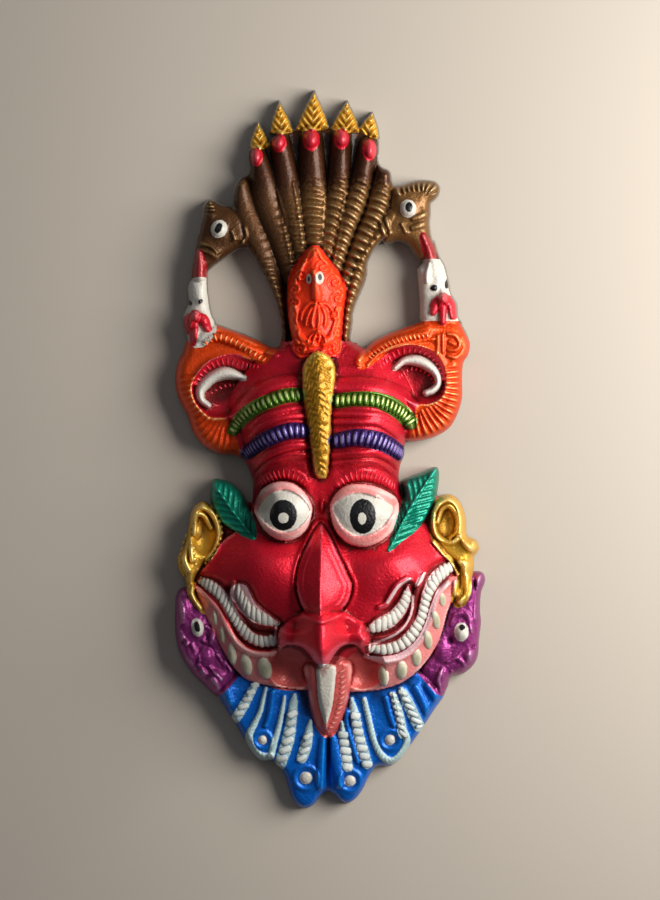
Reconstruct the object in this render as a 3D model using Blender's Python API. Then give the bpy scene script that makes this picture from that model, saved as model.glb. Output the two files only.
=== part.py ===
"""Kirtimukha wall mask: one hollow painted casting that lies on its back.

+Z points out of the face and +Y towards the crowns. The origin lies in the back
plane, under the middle of the outline. The carving is drawn in parts of the mask's
height, so it keeps its proportions when the height changes.
"""

import math

import bpy
import numpy as np

# Driving dimensions, in metres.
MASK_HEIGHT = 0.457
RELIEF_DEPTH = 0.070
EDGE_THICKNESS = 0.0075
SHELL_WALL = 0.0045
RIM_WIDTH = 0.006
HOLLOW_BEND = 0.007
CARVING_CELL = 0.0009

# How much each level of the casting is drawn in, for each metre above the back.
CASTING_DRAFT = 1.0

# The carving's own measure: parts of the height, with y up and x to the right.
HEIGHT_PARTS = 716.0
NOSE_LEVEL = 110.0
REACH = 16.0
DEEPEST = 40.0
FAR = 1e6
SNAP = 0.12
BOARD_MARGIN = 3
RIM_SLOPE = 1.6
EDGE_RISE = 10.5
EDGE_BLEND = 14.0
EDGE_CURVE = 0.62
TRIANGLE_BUDGET = 9800

UNIT = MASK_HEIGHT / HEIGHT_PARTS
LEVEL = RELIEF_DEPTH / NOSE_LEVEL
EDGE_LEVEL = EDGE_THICKNESS / LEVEL

# Outlines, in parts of the height. A curve runs smoothly through the points.
HOOD = [(-82, 300), (-81, 279), (-90, 272), (-96, 262), (-97, 244), (-92, 225), (-84, 204), (-62, 165),
        (-50, 130), (-48, 98), (22, 98), (23, 135), (36, 170), (42, 196), (56, 214), (68, 232), (66, 258),
        (62, 270), (60, 279), (49, 287), (48, 312), (30, 321), (14, 322), (-2, 322), (-18, 322),
        (-34, 321), (-52, 317), (-66, 304)]
LEFT_HEAD = [(-120, 251), (-126, 246), (-128, 234), (-131, 222), (-134, 210), (-137, 192), (-139, 170),
             (-123, 170), (-121, 179), (-108, 189), (-92, 200), (-80, 205), (-84, 232), (-97, 243),
             (-108, 246)]
RIGHT_HEAD = [(62, 262), (74, 266), (88, 270), (104, 269), (110, 263), (109, 255), (104, 249), (101, 246),
              (101, 236), (100, 226), (102, 212), (107, 196), (92, 188), (84, 195), (78, 204), (68, 208),
              (54, 206), (52, 222), (58, 240)]
LEFT_CREST = [(-139, 171), (-143, 160), (-142, 148), (-146, 138), (-148, 128), (-144, 114), (-137, 103),
              (-125, 104), (-114, 118), (-115, 130), (-119, 147), (-122, 171)]
RIGHT_CREST = [(104, 210), (109, 195), (115, 184), (119, 168), (121, 157), (127, 146), (128, 134),
               (132, 125), (118, 118), (100, 120), (89, 130), (88, 150), (86, 168), (86, 181), (94, 190),
               (101, 196)]
LEFT_GAP = [(-88, 200), (-105, 190), (-119, 178), (-122, 170), (-121, 153), (-115, 130), (-94, 120),
            (-74, 112), (-60, 104), (-51, 104), (-49, 118), (-53, 138), (-60, 160), (-70, 180),
            (-81, 198)]
RIGHT_GAP = [(67, 208), (52, 202), (39, 190), (37, 172), (31, 156), (25, 139), (22, 121), (21, 109),
             (30, 108), (46, 114), (69, 122), (86, 130), (89, 138), (88, 160), (86, 180), (82, 197),
             (76, 205)]
FIGURE = [(-17, 205), (-10, 203), (-4, 195), (3, 186), (10, 177), (16, 165), (17, 157), (15, 144),
          (13, 128), (12, 110), (9, 97), (-4, 92), (-18, 93), (-29, 91), (-36, 101), (-40, 120),
          (-43, 142), (-43, 162), (-40, 177), (-32, 190), (-24, 200)]
CLUB = [(-12, 99), (-21, 94), (-27, 83), (-27.5, 66), (-26.5, 50), (-24, 34), (-21, 14), (-18, -4),
        (-16, -19), (-13, -27), (-7, -29), (-3, -26), (-1, -8), (0.5, 16), (1.5, 42), (4, 62),
        (5.5, 80), (0, 93)]
LEFT_EAR = [(-118, 127), (-96, 120), (-78, 113), (-62, 104), (-48, 98), (-60, 70), (-80, 0), (-87, -8),
            (-97, -5), (-110, -4), (-123, 2), (-132, 10), (-138, 20), (-142, 33), (-148, 44), (-153, 56),
            (-155, 72), (-152, 88), (-147, 98), (-143, 110), (-132, 122)]
RIGHT_EAR = [(100, 132), (84, 127), (62, 119), (46, 111), (34, 100), (26, 88), (40, 60), (70, 20),
             (77, 9), (92, 10), (106, 14), (119, 22), (127, 35), (132, 52), (132, 68), (133, 86),
             (138, 95), (140, 105), (137, 116), (130, 127), (118, 132)]
FACE = [(-12, 112), (22, 107), (40, 99), (62, 90), (80, 66), (86, 42), (81, 20), (75, 8), (74, -5),
        (70, -16), (69, -32), (76, -52), (100, -62), (110, -98), (124, -114), (130, -135), (118, -160),
        (109, -190), (94, -214), (76, -230), (56, -238), (20, -242), (-24, -240), (-58, -236),
        (-80, -231), (-94, -220), (-107, -200), (-119, -176), (-130, -152), (-134, -130), (-118, -108),
        (-106, -90), (-82, -70), (-77, -38), (-80, -22), (-88, -6), (-98, 14), (-103, 36), (-98, 58),
        (-82, 80), (-62, 100), (-45, 108)]
LEFT_LEAF = [(-117, -30), (-120, -48), (-116, -60), (-108, -73), (-93, -83), (-78, -90), (-73, -86),
             (-75, -72), (-81, -56), (-87, -44), (-97, -34), (-106, -30)]
RIGHT_LEAF = [(108, -18), (92, -22), (72, -31), (73, -46), (67, -68), (57, -102), (73, -91), (88, -79),
              (100, -62), (107, -44)]
LEFT_GOLD = [(-128, -51), (-138, -60), (-142, -78), (-146, -94), (-153, -108), (-151, -121), (-145, -130),
             (-142, -146), (-135, -157), (-124, -165), (-131, -150), (-135, -138), (-132, -126),
             (-126, -116), (-117, -108), (-110, -94), (-107, -81), (-110, -69), (-118, -57)]
RIGHT_GOLD = [(118, -44), (107, -48), (101, -60), (99, -76), (102, -91), (109, -102), (118, -110),
              (125, -120), (127, -130), (123, -141), (121, -150), (127, -158), (136, -154), (141, -142),
              (142, -128), (144, -116), (144, -107), (149, -99), (146, -90), (137, -85), (136, -70),
              (133, -58), (127, -48)]
LEFT_IMP = [(-149, -138), (-154, -146), (-155, -162), (-155, -178), (-153, -194), (-148, -208),
            (-138, -223), (-126, -235), (-112, -246), (-97, -233), (-90, -218), (-102, -192),
            (-111, -172), (-116, -156), (-128, -146), (-140, -138)]
RIGHT_IMP = [(146, -121), (153, -123), (155, -131), (151, -143), (150, -160), (151, -172), (149, -190),
             (148, -204), (144, -214), (134, -223), (121, -227), (117, -238), (110, -246), (95, -232),
             (87, -218), (97, -196), (107, -172), (112, -156), (122, -144), (133, -134), (140, -124)]
BEARD = [(-111, -240), (-110, -248), (-102, -262), (-92, -278), (-84, -292), (-77, -303), (-69, -310),
         (-58, -311), (-51, -316), (-45, -326), (-41, -339), (-36, -351), (-27, -358), (-17, -355),
         (-10, -346), (-3, -341), (4, -344), (10, -350), (17, -353), (25, -349), (32, -340), (37, -330),
         (42, -321), (48, -316), (59, -316), (69, -310), (79, -297), (93, -277), (104, -260), (114, -245),
         (112, -236), (80, -218), (0, -228), (-80, -220)]
BACKING = [(-121, -56), (-128, -75), (-136, -110), (-140, -135), (-144, -152), (-140, -180), (-125, -215),
           (-104, -236), (-60, -245), (0, -250), (60, -245), (100, -236), (122, -212), (138, -180),
           (140, -152), (132, -130), (128, -112), (122, -75), (109, -47), (90, -45), (0, -60),
           (-100, -50)]
TONGUE = [(-25, -214), (-23, -236), (-20, -257), (-16.5, -271), (-11, -282), (-3, -288.5), (5, -284),
          (11.5, -273), (16, -258), (19.5, -243), (21, -212), (0, -206)]

# Lines, in parts of the height: x, y and half width.
SNAKES = [[(-90, 264, 10), (-86, 238, 15), (-70, 198, 16), (-56, 150, 12), (-49, 104, 8)],
          [(-73, 298, 9), (-67, 270, 14), (-63, 245, 17), (-50, 210, 15), (-34, 165, 12)],
          [(-50, 312, 10), (-45, 275, 14), (-40, 245, 16), (-33, 212, 12), (-24, 175, 10)],
          [(-19, 314, 12), (-18, 275, 15), (-17, 245, 17), (-15, 212, 14), (-14, 180, 10)],
          [(11, 314, 11), (9, 272, 12), (6, 245, 14), (1, 220, 11), (-5, 185, 9)],
          [(38, 304, 10), (31, 268, 12), (24, 245, 13), (15, 218, 11), (5, 180, 9)],
          [(55, 276, 11), (46, 236, 13), (31, 204, 12), (14, 165, 9)],
          [(63, 234, 10), (49, 214, 11), (31, 188, 10), (22.5, 158, 7.5), (17.5, 132, 6), (16, 106, 5)]]
SNAKE_RIBS = [(1.0, 0.3), (0.9, 0.4), (1.1, 0.35), (1.4, 0.25), (1.6, 0.2), (1.8, 0.15), (2.0, 0.0),
              (1.7, 0.0)]
SNAKE_EDGES = [[(-54, 262, 1), (-47.5, 235, 3), (-38.5, 188, 2.4)],
               [(-37, 268, 1), (-32, 245, 3), (-27, 205, 2.4)],
               [(-5, 256, 1), (-5.5, 232, 3), (-7, 200, 2.4)],
               [(15, 254, 1), (10, 225, 3), (3, 188, 2.4)]]
SNAKE_TIPS = [(-73.5, 293, 6.5, 9.5), (-51, 307, 7.5, 9.5), (-18.7, 310, 8.6, 11), (11.5, 311, 7.8, 10.5),
              (39.5, 300, 7.2, 11)]
CROWNS = [((-80, 302), (-72, 328), (-60, 303)), ((-60, 316), (-51, 349), (-37, 319)),
          ((-34, 320), (-16, 359), (-1, 322)), ((1, 321), (17, 349), (30, 318)),
          ((29, 320), (42, 338), (49, 311))]
LEFT_TUSK = [(-85.5, 72, 3.2), (-103, 76.5, 6.5), (-116.5, 73, 6.2), (-127.5, 63.5, 6.2), (-130, 56, 4.8),
             (-128, 49.5, 4), (-121.5, 44.5, 3.2)]
RIGHT_TUSK = [(65, 82, 3), (74.5, 89, 4.2), (87.5, 89, 6), (99, 83.5, 5.5), (106.5, 75.5, 4.5),
              (108, 66.5, 3.8), (103, 60, 4), (96, 57, 3.5)]
LEFT_HOLLOW = [(-52, 84), (-62, 86), (-78, 90), (-99, 95), (-116, 91), (-126, 84), (-135, 73),
               (-138.5, 61), (-135, 48), (-126, 37), (-118, 32), (-102, 33), (-92, 40), (-80, 60)]
RIGHT_HOLLOW = [(28, 82), (48, 90), (60, 100), (77, 105), (90, 104), (104, 98), (113, 86), (116, 73),
                (115, 60), (110, 51), (99, 46), (90, 46), (78, 50), (60, 68)]
LEFT_LASHES = [(-72, 83, 4), (-86, 84, 6), (-101, 89, 6), (-117, 85, 6), (-128, 76, 5), (-134, 66, 3)]
RIGHT_LASHES = [(50, 84, 4), (60, 92, 5), (72, 99, 6), (88, 100, 5), (101, 94, 5), (110, 83, 4),
                (113, 71, 3)]
LEFT_BEADS = [(-124, 107, 4), (-112, 113, 5), (-97, 108.5, 5), (-82, 100, 5), (-66, 90, 5)]
RIGHT_BEADS = [(40, 92, 5), (55, 104, 5), (72, 111, 5), (97, 115, 4)]
HEAD_LINES = [[(84, 231, 3), (92, 234, 3.5), (99, 236, 3)], [(83, 222, 3), (91, 225, 3.5), (99, 227, 3)],
              [(-128, 206, 2.5), (-120, 204, 2.5), (-113, 197, 2)],
              [(-128, 200, 2), (-120, 197, 2.5), (-112, 192, 2)], [(-98, 219, 2), (-95, 211, 2)],
              [(-85, 222, 2), (-84, 214, 2), (-87, 207, 2)], [(72, 226, 2), (76, 218, 2)],
              [(51, 227, 2), (55, 214, 2)], [(56, 232, 2), (60, 217, 2)]]
TONGUES = [[(-131, 197, 4.5), (-130.5, 187, 7), (-130, 174, 7.5)],
           [(93, 214, 4), (97.5, 203, 6.5), (101, 192, 6)]]
BEAKS = [[(-135, 134, 4.5), (-141.5, 130, 5.5), (-144, 119, 4)],
         [(-135, 136, 4.5), (-136, 122, 4.5), (-137, 107, 3.5)],
         [(-134, 134, 4.5), (-126.5, 130, 5.5), (-122, 121, 4)],
         [(113, 152, 4.5), (106.5, 147, 5.5), (103.5, 138, 3.8)],
         [(113.5, 153, 4.5), (113, 141, 4.2), (113, 127, 3)],
         [(114, 152, 4.5), (121, 147, 5.5), (123.5, 134, 4)]]
EAR_BANDS = [[(29, 87, 4), (36, 97, 5), (49, 107, 6.5), (68, 115, 8), (94, 122, 8)],
             [(-54, 97, 4), (-70, 103, 6), (-90, 110, 8), (-112, 117, 9), (-130, 116, 8)]]
EAR_LINES = [[(29, 90, 2), (46, 107, 2.5), (69, 118, 2.5), (94, 127, 2)],
             [(38, 85, 2), (50, 97, 2), (72, 106, 2), (104, 111, 2)], [(108, 114, 2), (108, 97, 2)],
             [(113, 115, 2), (113, 98, 2)],
             [(118, 116, 2), (126, 114, 2.5), (130, 106, 2.5), (126, 100, 2.5), (118, 100, 2)],
             [(120, 108, 2.5), (124, 106, 2.5)],
             [(132, 112, 2), (135, 102, 2.5), (128, 93, 2.5), (118, 94, 2)],
             [(-66, 104, 2), (-82, 110, 2), (-100, 118, 2), (-116, 122, 2)]]
LEFT_FAN = [(-146, 76, 12), (-144, 56, 12), (-134, 34, 13), (-118, 15, 15), (-98, 8, 14)]
RIGHT_FAN = [(126, 84, 10), (124, 60, 12), (114, 38, 14), (96, 26, 15), (82, 24, 14)]
GREEN_RINGS = [[(-32, 55, 7.5), (-45, 54, 7.5), (-60, 49, 7.5), (-75, 42, 7.5), (-88, 32, 7.5),
                (-97, 20, 6)],
               [(7, 49, 7.5), (26, 51, 7.5), (46, 50, 8), (60, 45, 8.5), (72, 37, 8.5), (80, 28, 8)]]
VIOLET_RINGS = [[(-28, 19, 8), (-40, 19, 8.5), (-56, 14, 8.5), (-70, 7, 8), (-83, -3, 7)],
                [(6, 9, 8), (25, 12, 9), (45, 10, 9.5), (58, 5, 9), (70, -3, 8)]]
RED_ROLLS = [[(-26, 68, 7), (-45, 68, 7), (-66, 62, 7), (-84, 48, 7), (-95, 34, 6)],
             [(4, 64, 8), (30, 65, 8), (52, 62, 8), (70, 54, 8), (83, 42, 7)],
             [(-24, 42, 3.5), (-36, 42, 3.5), (-52, 38, 3.5), (-66, 33, 3.5), (-80, 23, 3)],
             [(-22, 34, 3.5), (-36, 34, 3.5), (-52, 31, 3.5), (-68, 24, 3.5), (-80, 14, 3)],
             [(4, 36, 3.5), (28, 36, 3.5), (50, 34, 4), (64, 27, 4), (74, 17, 3.5)],
             [(4, 28, 3.5), (28, 28, 3.5), (46, 28, 4), (62, 20, 4), (73, 10, 3.5)],
             [(-20, 4, 4), (-36, 4, 4), (-54, -1, 4), (-66, -8, 4), (-75, -18, 3)],
             [(-20, -5, 3), (-38, -5, 3), (-52, -9, 3), (-64, -16, 3), (-72, -26, 3)],
             [(3, -6, 4), (28, -4, 4), (46, -3, 4), (58, -8, 4), (67, -17, 3)],
             [(3, -14, 3), (26, -12, 3), (44, -12, 3), (58, -18, 3), (66, -26, 3)]]
BROWS = [[(-72, -34, 5), (-60, -27, 6), (-46, -24, 6), (-32, -27, 6), (-24, -33, 5)],
         [(8, -34, 5), (20, -27, 6), (34, -25, 6), (50, -28, 6), (64, -36, 5)]]
OUTER_TEETH = [[(-129.5, -130.5, 4), (-121.5, -135, 6.5), (-114, -140, 7.5), (-107, -147.5, 7.5),
                (-101, -157, 7.5), (-95, -168, 7), (-89, -177, 7), (-82.5, -184.5, 7.2),
                (-75, -189.5, 7), (-66, -191.5, 7), (-58, -190.5, 6.5)],
               [(42, -198.5, 6), (52, -199.5, 6.5), (62, -198, 7.5), (71, -194.5, 7.8), (79, -188, 8),
                (86, -178.5, 7.5), (91.5, -167, 6.5), (94.5, -155, 6.5), (98, -143, 7.5),
                (104, -131, 8.2), (111, -123, 8.2), (119.5, -117.5, 6)]]
OUTER_TEETH_COUNTS = [20, 22]
INNER_TEETH = [[(-90.5, -143, 11.5), (-86.5, -150, 10.8), (-82.5, -157, 10.3), (-78, -161.5, 10),
                (-73, -165.5, 9.5), (-67, -168.5, 8.4), (-61, -171, 7), (-54, -172.5, 4)],
               [(43, -178, 6.5), (48, -175.5, 8.5), (55, -173, 9.5), (61, -169.5, 9.3),
                (66.5, -164.5, 8.4), (71, -158.5, 8), (75, -151.5, 7.2), (77, -145, 6),
                (78, -138, 3.5)]]
INNER_TEETH_COUNTS = [9, 11]
LIP_LINES = [[(-96, -132, 2), (-98, -146, 3), (-90, -164, 3.5), (-74, -176, 3.5), (-54, -179, 3)],
             [(43, -189, 3), (60, -185, 3.5), (76, -175, 3.5), (82.5, -160, 3.5), (86, -144, 3),
              (95, -124, 3)],
             [(50, -157, 3), (57.5, -153, 3.5), (66, -137, 3.5), (76, -129, 3), (82, -129, 2)],
             [(36, -206, 3), (54, -210, 4.5), (72, -206, 4.5), (88, -193, 4), (99, -172, 4),
              (106, -148, 4), (118, -133, 3)],
             [(-133, -138, 3), (-122, -146, 4), (-110, -160, 4), (-101, -178, 4), (-92, -194, 4),
              (-76, -203, 4), (-56, -203, 4)]]
GOLD_LINES = [[(-141, -78, 3), (-136, -62, 3), (-128, -56, 3), (-118, -64, 3), (-110, -82, 3.5),
               (-114, -98, 3), (-122, -110, 3)],
              [(-136, -84, 2), (-134, -66, 2.5), (-126, -66, 2.5), (-119, -78, 2.5)],
              [(-144, -94, 2.5), (-146, -108, 3), (-141, -120, 3)], [(-139, -98, 2.5), (-138, -110, 2.5)],
              [(-135, -134, 2.5), (-138, -144, 3), (-130, -158, 2.5)],
              [(103, -62, 3), (110, -52, 3), (119, -49, 3), (128, -56, 3), (132, -72, 3), (130, -86, 3),
               (122, -92, 2.5), (114, -90, 2.5), (106, -84, 3), (103, -74, 3), (103, -62, 3)],
              [(108, -72, 2), (112, -60, 2.5), (120, -57, 2.5), (127, -68, 2.5), (126, -82, 2.5),
               (120, -88, 2)], [(104, -92, 2.5), (114, -104, 2.5), (122, -112, 2.5), (128, -124, 2)],
              [(132, -86, 3), (138, -96, 3.5), (144, -102, 3)], [(138, -86, 3), (146, -96, 3)],
              [(130, -112, 3), (136, -116, 5), (138, -128, 4), (138, -144, 4), (130, -153, 3)],
              [(126, -132, 3), (126, -144, 3.5)]]
LEAF_RIBS = [[(-116, -34), (-98, -60), (-77, -87)], [(105, -20), (93, -38), (78, -62), (59, -100)]]
OVAL_TEETH = [(-114.5, -168, 2.8, 8.5, 6), (-107, -185, 3.4, 10.5, 4), (-97.5, -204, 5, 13, 4),
              (-83.5, -214.5, 6, 13, 7), (-65, -218, 7, 14, 8), (53.5, -225.5, 6.2, 11.8, 2),
              (71.5, -220, 6, 11.8, 4), (86.5, -207.5, 6, 11.8, 8), (97.5, -190, 5.2, 12, 12),
              (105.5, -170, 5, 11.8, 14), (112, -149.5, 4.2, 8.8, 10)]
IMP_LUMPS = [(141, -207, 8, 9, 5), (113, -228, 7, 10, 4), (143, -197, 3, 3, -5), (121, -190, 4, 5, -4),
             (145, -134, 2, 8, -4), (112, -200, 9, 14, 4), (-141, -209, 8, 9, 4), (-113, -228, 9, 9, 4),
             (-146, -192, 3, 4, -4), (-146, -158, 8, 12, 4), (-124, -207, 9, 11, 5),
             (-116, -188, 7, 11, 4)]
IMP_LINES = [[(-151, -148, 2), (-148, -160, 3), (-147, -172, 2.5)],
             [(-152, -178, 2), (-148, -187, 2.5), (-143, -194, 2)],
             [(-124, -176, 2), (-117, -183, 3), (-120, -193, 3), (-127, -191, 2)],
             [(-138, -194, 2), (-134, -203, 3), (-131, -211, 2)], [(-148, -198, 2), (-144, -209, 2.5)],
             [(-142, -210, 2), (-135, -218, 2.5)], [(-132, -214, 2), (-125, -224, 2.5)],
             [(-120, -217, 2), (-109, -229, 2.5)], [(-117, -229, 2.5), (-111, -238, 2.5)],
             [(-105, -211, 2), (-99, -221, 2)], [(-113, -204, 2), (-106, -215, 2)],
             [(152, -124, 2.5), (148, -138, 3), (147, -152, 3), (145, -168, 2.5)],
             [(121, -175, 2), (126, -165, 3), (134, -163, 3), (140, -170, 3), (142, -182, 2)],
             [(114, -163, 2), (110, -183, 2.5), (101, -198, 2)],
             [(117, -212, 2), (127, -208, 2.5), (136, -216, 2)],
             [(112, -219, 2), (108, -230, 2.5), (111, -240, 2)], [(122, -222, 2), (118, -232, 2.5)],
             [(148, -178, 2), (149, -190, 2.5), (147, -200, 2)]]
ROPES = [[(-75, -235, 4.8), (-81, -246, 5.6), (-87, -257, 6.2), (-94, -268, 6.2)],
         [(-37.5, -264, 6), (-40, -280, 7), (-43, -294, 7.4), (-50, -314, 7)],
         [(-22, -286, 6), (-24, -296, 7), (-28, -308, 6.5)],
         [(13, -285, 5.6), (15, -297, 6.4), (16, -306, 6.6), (17.5, -317, 6)],
         [(25.5, -266, 5.6), (28, -282, 6.4), (32, -298, 6.8), (37, -314, 6.4)],
         [(63, -245, 4.6), (66, -254, 5.4), (69, -264, 5.8), (73, -284, 6)],
         [(73, -243, 5.6), (77, -251, 6.6), (82, -262, 7), (89, -276, 7)]]
ROPE_TURNS = [6, 7, 4, 5, 7, 7, 6]
LOOPS = [[(-64, -238, 1.6), (-67, -250, 2.2), (-70, -262, 2.6), (-76, -275, 3.2), (-80.5, -284, 3.6),
          (-80, -294, 3.8), (-75, -302, 3.8), (-67, -306.5, 3.8), (-59, -306, 3.6)],
         [(-45.5, -247, 1.8), (-48, -262, 2.4), (-51, -276, 2.8), (-55, -290, 3.2), (-59, -306, 3.6)],
         [(-35.5, -245, 2), (-36.5, -254, 4.2), (-38.5, -270, 4.6)],
         [(-19.5, -271, 1.8), (-21, -280, 3.8), (-22.5, -290, 4.2)],
         [(21.5, -249, 2), (23.5, -260, 4.2), (26, -272, 4.8)], [(12, -272, 1.6), (13, -284, 3.6)],
         [(34, -249, 2.4), (37, -262, 2.9), (40, -275, 3), (43, -288, 3), (48, -300, 3.3),
          (54, -308, 3.6), (61, -311, 3.7), (68, -308, 3.7), (74, -300, 3.7), (77, -291, 3.6),
          (75, -282, 3)],
         [(63, -244, 1.8), (66, -254, 2.2), (69, -264, 2.3), (72, -274, 2.3)],
         [(-74, -234, 2.6), (-81, -246, 3)], [(71, -239, 2.6), (76, -249, 3)]]
LOCKS = [[(-104, -240, 5), (-100, -252, 4)], [(-57, -242, 3), (-60, -264, 3), (-64, -276, 2.5)],
         [(-6, -289, 4), (-8, -310, 5), (-9, -336, 5)], [(3, -288, 4), (6, -308, 5), (10, -334, 5)],
         [(56, -248, 3), (60, -264, 3), (64, -276, 2.5)], [(86, -238, 4), (92, -250, 4), (98, -264, 3.5)],
         [(98, -236, 4), (106, -248, 4)],
         [(17, -262, 3), (17, -274, 2.5), (24, -300, 2.5), (28, -312, 2)]]
BUTTONS = [(-67.5, -290, 4), (-24, -328, 5.5), (20, -331, 5), (60, -290, 4.6)]
LIDS = [[(-76, -58), (-70, -42), (-60, -34), (-49, -31.5), (-36, -34), (-25, -43), (-18, -56), (-19, -68),
         (-24, -80), (-33, -88), (-43, -91), (-54, -89), (-65, -81), (-72, -70)],
        [(0, -56), (4, -46), (11, -38.5), (20, -34.5), (31, -34), (44, -36), (56, -41), (66, -47.5),
         (69, -57), (67, -71), (61, -83), (49, -92.5), (34, -97), (19, -94), (8, -84.5), (2, -72)]]
WHITES = [[(-72, -62), (-66, -50), (-57, -42.5), (-47, -40), (-36, -42.5), (-26, -50), (-19.7, -61),
           (-25, -72), (-34, -80), (-46, -82.3), (-57, -79), (-67, -71)],
          [(3.3, -57), (10, -49.5), (18, -45), (28, -43), (40, -45), (52, -50), (63, -57), (60.5, -67),
           (53, -76.5), (42, -83.5), (29, -86), (17, -81), (8, -71)]]
EYEBALLS = [(-47, -62, 33, 33), (34, -65, 38, 35)]
NOSE = [(-8.5, -74), (7, -102), (17.5, -125), (21.5, -134), (20, -146), (14, -157), (3, -165), (-9, -169),
        (-19, -166), (-26, -160), (-31, -148), (-33.5, -134), (-31, -116), (-23, -96)]
NOSE_GROOVES = (3.5, 7.5)
UPPER_LIP = [(-24, -160), (-38, -168), (-50, -178), (-52, -188), (-50, -197.4), (-42, -195),
             (-30.6, -196.3), (-22.6, -202), (-15.7, -211), (-8.8, -217), (-2, -213.5), (3.8, -205.5),
             (10.7, -197.4), (19.9, -194), (28, -196.3), (33.7, -203), (39, -205), (41, -190), (37, -177),
             (24, -168), (10, -160), (-8, -156)]
FIGURE_STRANDS = [[(-14, 147, 1.6), (-21, 146, 2), (-27, 139, 1.6), (-29, 130, 1.2)],
                  [(-14, 146, 1.5), (-19, 141, 1.8), (-23, 132, 1.5), (-24, 125, 1)],
                  [(-14, 145, 1.5), (-16, 138, 1.8), (-18, 129, 1.5), (-17, 123, 1)],
                  [(-12, 145, 1.5), (-11, 137, 1.8), (-11, 129, 1.5), (-12, 123, 1)],
                  [(-10, 146, 1.5), (-6, 140, 1.8), (-4, 132, 1.5), (-5, 124, 1)],
                  [(-10, 147, 1.6), (-3, 146, 2), (2, 140, 1.6), (4, 131, 1.2)],
                  [(-12, 119, 1.4), (-18, 115, 1.6), (-22, 109, 1.2)],
                  [(-12, 119, 1.4), (-15, 113, 1.6), (-17, 107, 1.2)],
                  [(-11, 119, 1.4), (-11, 113, 1.6), (-11, 107, 1.2)],
                  [(-10, 119, 1.4), (-6, 114, 1.6), (-4, 108, 1.2)],
                  [(-27, 186, 1.4), (-33, 176, 1.6), (-35, 165, 1.4)],
                  [(-24, 190, 1.4), (-29, 180, 1.6), (-31, 170, 1.4)],
                  [(-13, 200, 1.4), (-9, 193, 1.6), (-4, 187, 1.4)]]
FIGURE_LIMBS = [[(-16, 178, 3), (-14.5, 166, 3.5), (-13, 157, 5), (-13, 152, 4.5)],
                [(-36, 141, 5), (-37.5, 127, 5.5), (-33, 114, 5.5), (-24, 107, 5), (-16, 105, 4)],
                [(9, 140, 4.5), (8, 126, 5), (3, 113, 5), (-5, 107, 4.5)],
                [(-35, 106, 5), (-30, 98, 6), (-18, 97, 5)], [(9, 106, 5), (4, 98, 6), (-7, 97, 5)]]

# The face's main form: station up the mask, its middle, half width and level.
FACE_STATIONS = [(-245, 0, 96, 34), (-225, 0, 112, 50), (-200, 0, 122, 63), (-170, 0, 134, 69),
                 (-140, -1, 142, 70), (-110, -1, 138, 68), (-80, -3, 114, 64), (-55, -4, 92, 61),
                 (-35, -5, 82, 62), (-10, -6, 80, 64), (20, -9, 90, 66), (50, -9, 97, 62),
                 (80, -10, 86, 52), (112, -12, 60, 36)]
FACE_FULLNESS = 2.4


def smooth_line(points, closed=False, steps=6):
    """A curve through the points. A third number of a point is carried along as a width."""
    given = np.array(points, float)
    if closed:
        ring = np.vstack([given[-1:], given, given[:2]])
    else:
        ring = np.vstack([2 * given[0] - given[1], given, 2 * given[-1] - given[-2]])
    before, start, end, after = (ring[k:len(ring) - 3 + k][:, None] for k in range(4))
    t = np.linspace(0, 1, steps, endpoint=False)[None, :, None]
    bend = (2 * before - 5 * start + 4 * end - after) * t ** 2
    twist = (3 * start - before - 3 * end + after) * t ** 3
    curve = (start + 0.5 * ((end - before) * t + bend + twist)).reshape(-1, given.shape[1])
    return curve if closed else np.vstack([curve, given[-1:]])


def round_over(t):
    """A quarter round: 0 at t = 0, 1 from t = 1."""
    return np.sqrt(1 - (1 - np.clip(t, 0, 1)) ** 2)


def settle(field, bend, cell, reach):
    """The lowest that the field comes to near each place. A step away costs bend times its square."""
    for axis in (0, 1):
        lowest = field.copy()
        for step in range(1, int(reach / cell) + 1):
            cost = bend * (step * cell) ** 2
            ahead = np.roll(field, -step, axis)
            behind = np.roll(field, step, axis)
            lowest = np.minimum(lowest, np.minimum(ahead, behind) + cost)
        field = lowest
    return field


def smear(field, cell, width):
    """The field averaged over about the width, three times each way."""
    step = max(1, int(round(0.5 * width / cell)))
    for axis in (0, 1, 0, 1, 0, 1):
        field = sum(np.roll(field, k, axis) for k in range(-step, step + 1)) / (2 * step + 1)
    return field


def soft_max(a, b, blend):
    """The higher of two surfaces, with a fillet where they meet."""
    h = np.clip(0.5 + 0.5 * (a - b) / blend, 0, 1)
    return b + (a - b) * h + blend * h * (1 - h)


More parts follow.
